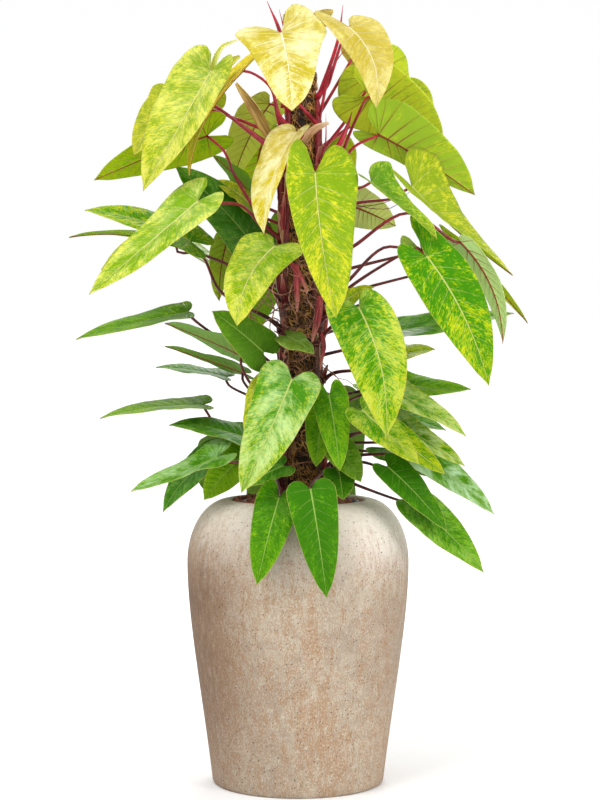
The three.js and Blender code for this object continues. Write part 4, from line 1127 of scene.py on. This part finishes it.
def make_stem(vine):
    """A vine with a low ring at each joint, pointed at its top"""
    angle, top = VINES[vine]
    heights = [VINE_FOOT + VINE_STEP * step for step in range(int((top - VINE_FOOT) / VINE_STEP))] + [top]
    radii = []
    for height in heights:
        from_joint = (height + JOINT_TURN_SHIFT * angle) % JOINT_RISE - JOINT_RISE / 2
        ring = JOINT_RING * math.exp(-(from_joint / JOINT_RING_REACH) ** 2)
        pointed = VINE_TIP_RADIUS + (top - height) * VINE_TIP_SLOPE
        radii.append(min(BETWEEN_JOINTS + ring, pointed))
    path = [vine_point(vine, height) for height in heights]
    put_down("stem_" + vine, Shape(*tube(path, radii, STEM_SIDES)), STEM, "stem", vine_node(vine))


# Rolled new leaves and bare stalks at the crown
SPEAR_STEPS = 26
SPEAR_TAPER = [1.2, 1.1, 1, 0.7, 0.12]
# Vine, row of the foot, tip, bends and radius
SPEARS = [
    ("a", 100, (267, 1, 60), [(281, 36, 50)], 4.4),
    ("b", 100, (343, 5, 40), [(338, 40, 40)], 3.4),
    ("c", 135, (273, 98, 30), [(277, 114, 26)], 3.4),
    ("d", 160, (352, 112, 36), [(337, 148, 32), (347, 127, 34)], 5.6),
    ("c", 108, (279, 9, 20), [(284, 32, 14)], 2.6),
    ("d", 122, (346, 48, 70), [(322, 106, 46), (331, 70, 60)], 2.6),
    ("b", 126, (293, 98, 60), [(307, 113, 48)], 3.8),
    ("b", 165, (326, 113, 50), [(325, 146, 46)], 1.3),
]


def tapered(radius, taper, count):
    """Radii along a path of so many steps"""
    return [radius * through(taper, (len(taper) - 1) * share) for share in shares(count)]


def make_spears():
    for number, (vine, bud, tip, bends, radius) in enumerate(SPEARS):
        path = smooth_path([bud_point(vine, bud), *all_seen([*bends, tip])], SPEAR_STEPS)
        shape = Shape(*tube(path, tapered(radius, SPEAR_TAPER, SPEAR_STEPS), STEM_SIDES))
        put_down(f"spear_{number}", shape, STALK, "stem", vine_node(vine))


# Old leaf sheaths on the stems, and curled strips of leaf
HUSK_SEED = 77
SHEATH_OPENING = 1.9
SHEATH_THICKNESS = 0.6
SHEATH_FLATNESS = 0.8
CRUMPLE = 0.3
FIRST_HEIGHTS = (560, 600)
BARE_TOP = 90
SHEATH_SPACING = (46, 96)
SHEATH_LENGTHS = (34, 72)
SHEATH_LEANS = (3, 13)
SHEATH_DRIFTS = (-14, 14)
SHEATH_HALF_WIDTHS = (3.4, 5.6)
DRY_SHARE = 0.3
HUSK_STEPS = 16
HUSK_TAPER = [0.75, 1, 0.95, 0.75, 0.3]
# Stops, greatest half width and skin
HUSKS = [
    ([(302, 143, 40), (309, 134, 56), (318, 127, 62), (329, 123, 64)], 8, DRY_HUSK),
    ([(270, 138, 22), (258, 116, 30), (246, 98, 36), (236, 83, 38)], 10, TAN_CURL),
    ([(296, 264, 46), (297, 278, 48), (297, 294, 50), (297, 312, 52)], 6, PINK_HUSK),
    ([(290, 262, 44), (297, 272, 50), (303, 282, 52), (307, 293, 50)], 5, PINK_HUSK),
    ([(320, 296, 42), (319, 312, 46), (316, 326, 46), (312, 342, 44)], 7, PINK_HUSK),
    ([(272, 350, 30), (276, 351, 34), (280, 354, 38), (286, 358, 40)], 8, PINK_HUSK),
    ([(322, 332, 42), (324, 346, 46), (322, 358, 44), (320, 370, 40)], 4, PINK_HUSK),
    ([(283, 230, 32), (283, 216, 34), (284, 204, 32), (284, 194, 28)], 5, PINK_HUSK),
    ([(303, 196, -44), (301, 216, -50), (299, 232, -50), (298, 246, -48)], 6, PINK_HUSK),
    ([(322, 300, -38), (325, 318, -42), (324, 334, -44), (322, 346, -42)], 6, PINK_HUSK),
    ([(290, 380, -40), (288, 396, -46), (290, 412, -46), (293, 424, -44)], 6, DRY_HUSK),
    ([(210, 82, 42), (214, 63, 46), (222, 47, 48), (237, 40, 46)], 5, PALE_CURL),
    ([(213, 84, 46), (222, 71, 50), (231, 61, 50), (240, 56, 46)], 9, OLIVE_CURL),
]


def half_rolled(path, widths, number):
    """A thin crumpled sheath that is curled round its path and open along one side, and its marks"""
    loops = []
    marks = []
    girth = shares(8)
    for at, (point, width, (side, other)) in enumerate(zip(path, widths, frames_along(path))):
        def corner_at(share, radius):
            turn = blend(-SHEATH_OPENING, SHEATH_OPENING, share)
            crumple = 1 + CRUMPLE * noise.noise(Vector((share * 4, at * 0.35, number * 5.7)))
            out = side * math.sin(turn) + other * (math.cos(turn) * SHEATH_FLATNESS)
            return point + out * (radius * crumple)

        thin = max(width - SHEATH_THICKNESS, width * 0.5)
        loops.append([corner_at(share, width) for share in girth]
                     + [corner_at(share, thin) for share in reversed(girth)])
        marks += [(number, at / (len(path) - 1), share) for share in girth + girth[::-1]]
    return loft(loops), marks


def vine_husks(vine, dice):
    """Torn sheath ends that old leaves left along a vine: stops, half width and skin"""
    angle, top = VINES[vine]
    turn = math.radians(angle)
    outward = Vector((math.sin(turn), -math.cos(turn), 0))
    sideways = Vector((math.cos(turn), math.sin(turn), 0))
    height = dice.uniform(*FIRST_HEIGHTS)
    husks = []
    while height < top - BARE_TOP:
        foot = vine_point(vine, height)
        length = dice.uniform(*SHEATH_LENGTHS)
        lean = dice.uniform(*SHEATH_LEANS)
        aside = dice.uniform(*SHEATH_DRIFTS)
        stops = []
        for share in (0, 0.3, 0.65, 1):
            stops.append(foot + outward * (3 + lean * share ** 1.6) + sideways * (aside * share)
                         + Vector((0, 0, length * share)))
        width = dice.uniform(*SHEATH_HALF_WIDTHS)
        husks.append((stops, width, DRY_HUSK if dice.random() < DRY_SHARE else PINK_HUSK))
        height += dice.uniform(*SHEATH_SPACING)
    return husks


def make_husk(name, stops, width, skin, number):
    path = smooth_path(stops, HUSK_STEPS)
    sheath, marks = half_rolled(path, tapered(width, HUSK_TAPER, HUSK_STEPS), number)
    put_down(name, Shape(*sheath, tone=marks), skin, "stem")


def make_husks():
    dice = random.Random(HUSK_SEED)
    for vine in VINES:
        for number, (stops, width, skin) in enumerate(vine_husks(vine, dice)):
            make_husk(f"sheath_{vine}_{number}", stops, width, skin, dice.random())
    for number, (stops, width, skin) in enumerate(HUSKS):
        make_husk(f"husk_{number}", all_seen(stops), width, skin, number / 10)


# Aerial roots. Those that stand clear of the pole have their stops and radius here.
FREE_ROOTS = [
    ([(320, 366, 36), (334, 374, 44), (342, 384, 46), (354, 394, 44)], 0.9),
    ([(322, 362, 36), (336, 377, 40), (348, 381, 36), (358, 390, 30)], 0.7),
    ([(352, 204, 30), (376, 209, 44), (393, 207, 48), (409, 192, 46)], 1.1),
    ([(324, 228, 30), (350, 209, 40), (380, 204, 44), (402, 195, 42)], 1.2),
    ([(262, 300, 30), (255, 316, 34), (252, 322, 32), (254, 332, 30)], 0.8),
    ([(270, 290, 26), (260, 306, 30), (250, 314, 26), (258, 322, 24)], 0.8),
    ([(270, 260, -30), (252, 280, -44), (248, 300, -40), (256, 330, -40)], 0.9),
    ([(330, 240, -30), (344, 262, -44), (346, 290, -40), (338, 318, -40)], 0.9),
    ([(320, 470, 40), (324, 480, 58), (318, 490, 62), (322, 500, 56)], 1.2),
    ([(280, 470, 40), (276, 482, 54), (280, 492, 58), (276, 500, 54)], 1.2),
    ([(264, 286, 38), (282, 295, 60), (298, 289, 64), (318, 300, 54)], 1.5),
    ([(262, 300, 36), (280, 311, 60), (300, 302, 64), (322, 307, 52)], 1.3),
    ([(270, 314, 46), (288, 304, 62), (304, 315, 64), (320, 327, 52)], 1.3),
    ([(258, 328, 34), (274, 318, 56), (291, 329, 64), (312, 320, 58)], 1.5),
    ([(274, 331, 52), (292, 341, 64), (308, 334, 64), (324, 345, 50)], 1.2),
    ([(262, 343, 38), (278, 353, 58), (291, 344, 64), (303, 357, 62)], 1.3),
    ([(268, 294, 46), (274, 310, 60), (270, 327, 58), (278, 345, 58)], 1.5),
    ([(293, 282, 62), (289, 300, 65), (297, 318, 65), (291, 338, 64)], 1.2),
    ([(314, 280, 56), (306, 297, 64), (315, 312, 62), (307, 332, 64)], 1.2),
    ([(326, 256, 44), (314, 270, 62), (300, 276, 65), (284, 272, 60)], 1.3),
    ([(268, 262, 44), (276, 278, 60), (272, 290, 60), (280, 306, 63)], 1.3),
    ([(318, 366, 54), (302, 374, 64), (290, 368, 63), (274, 378, 52)], 1.2),
]
CLINGING_ROOTS = 300
ROOT_SEED = 41
LOWEST_ROOT = 560
ROOT_RISE = 60
ROOT_LIFT = 6
ROOT_CLIMBS = (-0.8, 0.5)
ROOT_REACHES = (0.7, 2.6)
CLOSE_SWINGS = (2, 4)
WIDE_SWINGS = (6, 15)
ROOT_RADII = (0.6, 1.7)
ROOT_SIDES = 6
FREE_STEPS = 24
FREE_TIP_RADIUS = 0.5
FREE_SHAKE = 0.5
CLINGING_STEPS = 20
CLINGING_TIP_RADIUS = 0.4


def clinging_root(dice):
    """A root that leaves a vine and wanders over the pole"""
    vine = dice.choice(sorted(VINES))
    angle, top = VINES[vine]
    height = dice.uniform(LOWEST_ROOT, top - ROOT_RISE)
    turn = math.radians(angle)
    heading = dice.choice((-1, 1))
    climb = dice.uniform(*ROOT_CLIMBS)
    reach = dice.uniform(*ROOT_REACHES)
    swing = dice.uniform(*(CLOSE_SWINGS if dice.random() < 0.5 else WIDE_SWINGS))
    stops = []
    for share in shares(5):
        radius = POLE_RADIUS + ROOT_LIFT + swing * math.sin(share * math.pi) + dice.uniform(-1.5, 2.5)
        rise = height + climb * ROOT_RISE * share + dice.uniform(-7, 7)
        stops.append(round_pole(turn + heading * reach * share, radius, rise))
    return stops


def make_roots():
    dice = random.Random(ROOT_SEED)
    shape = Shape()
    for stops, radius in FREE_ROOTS:
        path = smooth_path(all_seen(stops), FREE_STEPS)
        path = [point + scattered(dice, FREE_SHAKE) for point in path]
        radii = [blend(radius, FREE_TIP_RADIUS, share) for share in shares(FREE_STEPS)]
        shape.add(*tube(path, radii, ROOT_SIDES), tone=(dice.uniform(0, 0.8), 0, 0))
    for _root in range(CLINGING_ROOTS):
        path = smooth_path(clinging_root(dice), CLINGING_STEPS)
        radius = dice.uniform(*ROOT_RADII)
        radii = [blend(radius, CLINGING_TIP_RADIUS, share) for share in shares(CLINGING_STEPS)]
        shape.add(*tube(path, radii, ROOT_SIDES), tone=(dice.random(), 0, 0))
    put_down("aerial_roots", shape, ROOT, "coir")


# Coir pole
STRANDS = 1600
STRAND_SEED = 7
STRAND_HEIGHTS = (POLE_FOOT + 200, POLE_TOP - 12)
STRAND_LIMITS = (POLE_FOOT + 190, POLE_TOP - 2)
STRAND_STEPS = 12
STRAND_SIDES = 4
STRAND_SPREADS = (-1.1, 1.1)
STRAND_RISES = (-42, 42)
STRAND_BOWS = (0.4, 5)
STRAND_CURLS = (0.06, 0.3)
STRAND_RADII = (0.4, 1)
CROWN_ROUNDING = (5, 14)
CORE_SIDES = 96
CORE_ROWS = 230


def pole_radius(height):
    """The sleeve is drawn in a little between the turns of its wrap"""
    if height < WRAP_START:
        return POLE_RADIUS
    share = ((height - WRAP_START) / WRAP_RISE) % 1
    return POLE_RADIUS - WRAP_WAIST * (1 - abs(2 * share - 1))


def on_pole(turn, height, lift):
    return round_pole(turn, pole_radius(height) + lift, height)


def make_core():
    """The lumpy body of the sleeve, rounded at its top and coloured near black as painted shade in the gaps
    between the loose strands
    """
    depth, rise = CROWN_ROUNDING
    loops = []
    for row in shares(CORE_ROWS):
        height = blend(POLE_FOOT, POLE_TOP, row)
        edge = depth * smoothstep(height, POLE_TOP - rise, POLE_TOP)
        loop = []
        for corner in range(CORE_SIDES):
            turn = 2 * math.pi * corner / CORE_SIDES
            lumps = noise.fractal(on_pole(turn, height, 0) * 0.09, 1, 2.2, 3)
            loop.append(on_pole(turn, height, 2 * lumps - 1 - edge))
        loops.append(loop)
    put_down("shaded_coir_core", Shape(*loft(loops), tone=(0, 0, 0)), SHADED_COIR_CORE, "coir", "coir_sleeve")


def strand_path(dice):
    """A loose strand that winds part of the way round the pole"""
    turn = dice.uniform(0, 2 * math.pi)
    height = dice.uniform(*STRAND_HEIGHTS)
    spread = dice.uniform(*STRAND_SPREADS)
    rise = dice.uniform(*STRAND_RISES)
    bow = dice.uniform(*STRAND_BOWS)
    wobble = dice.uniform(0, 6)
    curl = dice.uniform(*STRAND_CURLS)
    low, high = STRAND_LIMITS
    path = []
    for share in shares(STRAND_STEPS):
        here = height + rise * share + 30 * curl * math.cos(wobble + 11 * share)
        path.append(on_pole(
            turn + spread * share + curl * math.sin(wobble + 9 * share),
            min(max(here, low), high),
            0.2 + bow * math.sin(math.pi * share) + 0.5 * math.sin(wobble * 3 + 13 * share),
        ))
    return path


def make_strands():
    dice = random.Random(STRAND_SEED)
    strands = Shape()
    for _strand in range(STRANDS):
        path = strand_path(dice)
        radius = dice.uniform(*STRAND_RADII)
        strands.add(*tube(path, [radius] * len(path), STRAND_SIDES), tone=(dice.random() ** 2, 0, 0))
    put_down("coir_strands", strands, COIR, "coir", "coir_sleeve")


# Planter, inner pot and granules

def cubic(points, share):
    rest = 1 - share
    weights = (rest ** 3, 3 * rest ** 2 * share, 3 * rest * share ** 2, share ** 3)
    return tuple(sum(weight * point[axis] for weight, point in zip(weights, points)) for axis in (0, 1))


def outer_wall():
    swell = [(FOOT_RADIUS, FOOT_HEIGHT), SWELL_LOW, SWELL_HIGH, (WIDEST_RADIUS, WIDEST_HEIGHT)]
    wall = [cubic(swell, share) for share in shares(WALL_STEPS)]
    for share in shares(SHOULDER_STEPS)[1:]:
        turn = share * math.pi / 2
        wall.append((
            RIM_RADIUS + (WIDEST_RADIUS - RIM_RADIUS) * math.cos(turn),
            WIDEST_HEIGHT + (PLANTER_HEIGHT - WIDEST_HEIGHT) * math.sin(turn),
        ))
    return wall


def make_planter():
    wall = outer_wall()
    lining = []
    for height in range(NECK_FOOT, FLOOR_THICKNESS, -LINING_STEP):
        radius = min(point[0] for point in wall if abs(point[1] - height) < LINING_STEP / 2)
        lining.append((max(radius - WALL_THICKNESS, MOUTH_RADIUS), height))
    lip = [(MOUTH_RADIUS + out, PLANTER_HEIGHT - down) for out, down in LIP_ROUNDING]
    foot = [(BASE_RADIUS + out, up) for out, up in FOOT_ROUNDING]
    floor = [(lining[-1][0], FLOOR_THICKNESS), (0, FLOOR_THICKNESS)]
    profile = [(0, 0), *foot, *wall, *lip, *lining, *floor]
    put_down("planter_body", Shape(*turned(profile, PLANTER_SIDES)), STONE, "stone", "planter")


def make_grower_pot():
    lip_low = GROWER_RIM_HEIGHT - GROWER_LIP
    profile = [
        (0, GROWER_FOOT_HEIGHT), (GROWER_FOOT_RADIUS - 2, GROWER_FOOT_HEIGHT),
        (GROWER_FOOT_RADIUS, GROWER_FOOT_HEIGHT + 2), (GROWER_MOUTH_RADIUS, lip_low),
        (GROWER_RIM_RADIUS - 0.8, lip_low + 0.2), (GROWER_RIM_RADIUS, lip_low + 1.2),
        (GROWER_RIM_RADIUS, GROWER_RIM_HEIGHT - 1), (GROWER_RIM_RADIUS - 0.9, GROWER_RIM_HEIGHT),
        (GROWER_MOUTH_RADIUS - GROWER_WALL + 0.9, GROWER_RIM_HEIGHT),
        (GROWER_MOUTH_RADIUS - GROWER_WALL, GROWER_RIM_HEIGHT - 1),
        (GROWER_FOOT_RADIUS - GROWER_WALL, GROWER_FOOT_HEIGHT + GROWER_WALL),
        (0, GROWER_FOOT_HEIGHT + GROWER_WALL),
    ]
    shape = Shape(*turned(profile, GROWER_SIDES, GROWER_CENTRE))
    put_down("grower_pot_wall", shape, BLACK_PLASTIC, "black_plastic", "grower_pot")


# A round pebble of twenty triangles, before it is split and squashed
PEBBLE_CORNERS = [(0, 0, 1), (0.89, 0, 0.45), (0.28, 0.85, 0.45), (-0.72, 0.53, 0.45), (-0.72, -0.53, 0.45),
                  (0.28, -0.85, 0.45), (0.72, 0.53, -0.45), (-0.28, 0.85, -0.45), (-0.89, 0, -0.45),
                  (-0.28, -0.85, -0.45), (0.72, -0.53, -0.45), (0, 0, -1)]
PEBBLE_SIDES = [(side, (side + 1) % 5) for side in range(5)]
PEBBLE_FACES = [(0, 1 + here, 1 + after) for here, after in PEBBLE_SIDES]
PEBBLE_FACES += [(1 + here, 6 + here, 1 + after) for here, after in PEBBLE_SIDES]
PEBBLE_FACES += [(1 + after, 6 + here, 6 + after) for here, after in PEBBLE_SIDES]
PEBBLE_FACES += [(11, 6 + after, 6 + here) for here, after in PEBBLE_SIDES]


def split_once(corners, faces):
    """Each triangle of a round body into four, its new corners pushed out to the round"""
    points = [Vector(corner) for corner in corners]
    middles = {}

    def middle(first, second):
        key = (min(first, second), max(first, second))
        if key not in middles:
            points.append(((points[first] + points[second]) / 2).normalized())
            middles[key] = len(points) - 1
        return middles[key]

    finer = []
    for first, second, third in faces:
        one, two, three = middle(first, second), middle(second, third), middle(third, first)
        finer += [(first, one, three), (second, two, one), (third, three, two), (one, two, three)]
    return points, finer


def granule(dice, middle, size, corners):
    """The corners of one squashed and lumpy granule"""
    squash = [dice.uniform(*span) for span in GRANULE_SQUASH]
    lumps = Vector((dice.uniform(0, 90), dice.uniform(0, 90), 0))
    points = []
    for corner in corners:
        bulge = 1 + GRANULE_LUMPS * noise.noise(corner * 1.3 + lumps)
        points.append(middle + Vector(corner[axis] * squash[axis] * size * bulge for axis in range(3)))
    return points


def make_granules():
    corners, faces = split_once(PEBBLE_CORNERS, PEBBLE_FACES)
    dice = random.Random(GRANULE_SEED)
    rings = [
        ("ring_granules", (0, 0), GROWER_RIM_RADIUS + 5, MOUTH_RADIUS - 4, RING_GRANULES),
        ("inner_granules", GROWER_CENTRE, 0, GROWER_MOUTH_RADIUS - 7, INNER_GRANULES),
    ]
    for name, centre, inner, outer, count in rings:
        shape = Shape()
        for _granule in range(count):
            radius = math.sqrt(dice.uniform(inner * inner, outer * outer))
            turn = dice.uniform(0, 2 * math.pi)
            size = dice.uniform(*GRANULE_SIZES)
            across = centre[0] + radius * math.cos(turn)
            heap = GRANULE_HEAP * smoothstep(-across, 0, GRANULE_HEAP_REACH)
            height = GRANULE_TOP + heap + dice.uniform(*GRANULE_LIFTS)
            middle = Vector((across, centre[1] + radius * math.sin(turn), height))
            from_pole = math.hypot(middle.x - POLE_CENTRE[0], middle.y - POLE_CENTRE[1])
            if from_pole >= POLE_RADIUS + size:
                shape.add(granule(dice, middle, size, corners), faces)
        put_down(name, shape, CLAY, "clay_granules")
    for node in ("granule_fill", "top_granules"):
        dress(node, CLAY)


def dress(node, material):
    """A CAD piece keeps its shape and gets a better finish"""
    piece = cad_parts[node]
    piece.data.materials.clear()
    piece.data.materials.append(material)


# Camera, floor and lights
WALL_BRIGHTNESS = 1.0
CEILING_BRIGHTNESS = 0.85
FLOOR_REACH = 400
FLOOR_HAZE = 0.42
# Name, place and target in metres, width and power
LIGHTS = [
    ("key", (-1.2, -1.8, 3.6), (0, 0, 0.9), 1.6, 68),
    ("fill", (2.8, -2.8, 1.8), (0, 0, 0.8), 1.4, 60),
    ("behind", (0.6, 2.8, 2.8), (0, 0, 1), 2, 60),
]


def make_camera():
    data = bpy.data.cameras.new("camera")
    data.sensor_width = SENSOR
    data.lens = EYE_FOCAL / PICTURE_HEIGHT * SENSOR
    data.clip_end = 100
    camera = bpy.data.objects.new("camera", data)
    camera.location = EYE * MILLIMETRE
    camera.rotation_euler = (math.pi / 2 - EYE_TILT, 0, 0)
    into_scene(camera)
    bpy.context.scene.camera = camera


def floor_skin():
    """A matt pale floor that glows a little towards its far edge, to meet the pale wall"""
    skin = Skin("pale_floor")
    place = skin.place()
    grain = skin.noise(place, 60, 3, 0.5)
    skin.finish(skin.mix(grain, colour(0.84, 0.84, 0.84), colour(0.88, 0.88, 0.88)), 1, 0)
    distance = skin.put("ShaderNodeVectorMath", {0: place}, operation="LENGTH").outputs["Value"]
    glow = skin.mix(skin.step(distance, 0.9, 4.5), colour(0, 0, 0), colour(*[FLOOR_HAZE] * 3))
    skin.feed(skin.surface.inputs["Emission Color"], glow)
    skin.feed(skin.surface.inputs["Emission Strength"], 1)
    return skin.material


def make_floor():
    corners = [(-1, -1), (1, -1), (1, 1), (-1, 1)]
    mesh = bpy.data.meshes.new("floor")
    mesh.from_pydata([(FLOOR_REACH * x, FLOOR_REACH * y, 0) for x, y in corners], [], [(0, 1, 2, 3)])
    mesh.materials.append(floor_skin())
    floor = bpy.data.objects.new("floor", mesh)
    into_scene(floor)


def make_light(name, place, target, size, power):
    data = bpy.data.lights.new(name, "AREA")
    data.shape = "DISK"
    data.size = size
    data.energy = power
    light = bpy.data.objects.new(name, data)
    light.location = place
    light.rotation_euler = (Vector(target) - Vector(place)).to_track_quat("-Z", "Y").to_euler()
    into_scene(light)


def make_studio():
    world = bpy.data.worlds.new("studio")
    bpy.context.scene.world = world
    world.use_nodes = True
    wiring = Wiring(world.node_tree)
    rise = wiring.parts(wiring.put("ShaderNodeTexCoord").outputs["Generated"])[2]
    sky = world.node_tree.nodes["Background"]
    sky.inputs["Color"].default_value = colour(1, 1, 1)
    wiring.feed(sky.inputs["Strength"], wiring.step(rise, 0.1, 0.5, WALL_BRIGHTNESS, CEILING_BRIGHTNESS))
    for light in LIGHTS:
        make_light(*light)
    bpy.context.scene.view_settings.view_transform = "Standard"


make_camera()
make_floor()
make_studio()
make_planter()
make_grower_pot()
make_granules()
dress("potting_soil", SOIL)
dress("pole_stake", STAKE_WOOD)
make_core()
make_strands()
for vine_name in VINES:
    make_stem(vine_name)
    make_stalks(vine_name)
make_blades()
make_spears()
make_husks()
make_roots()
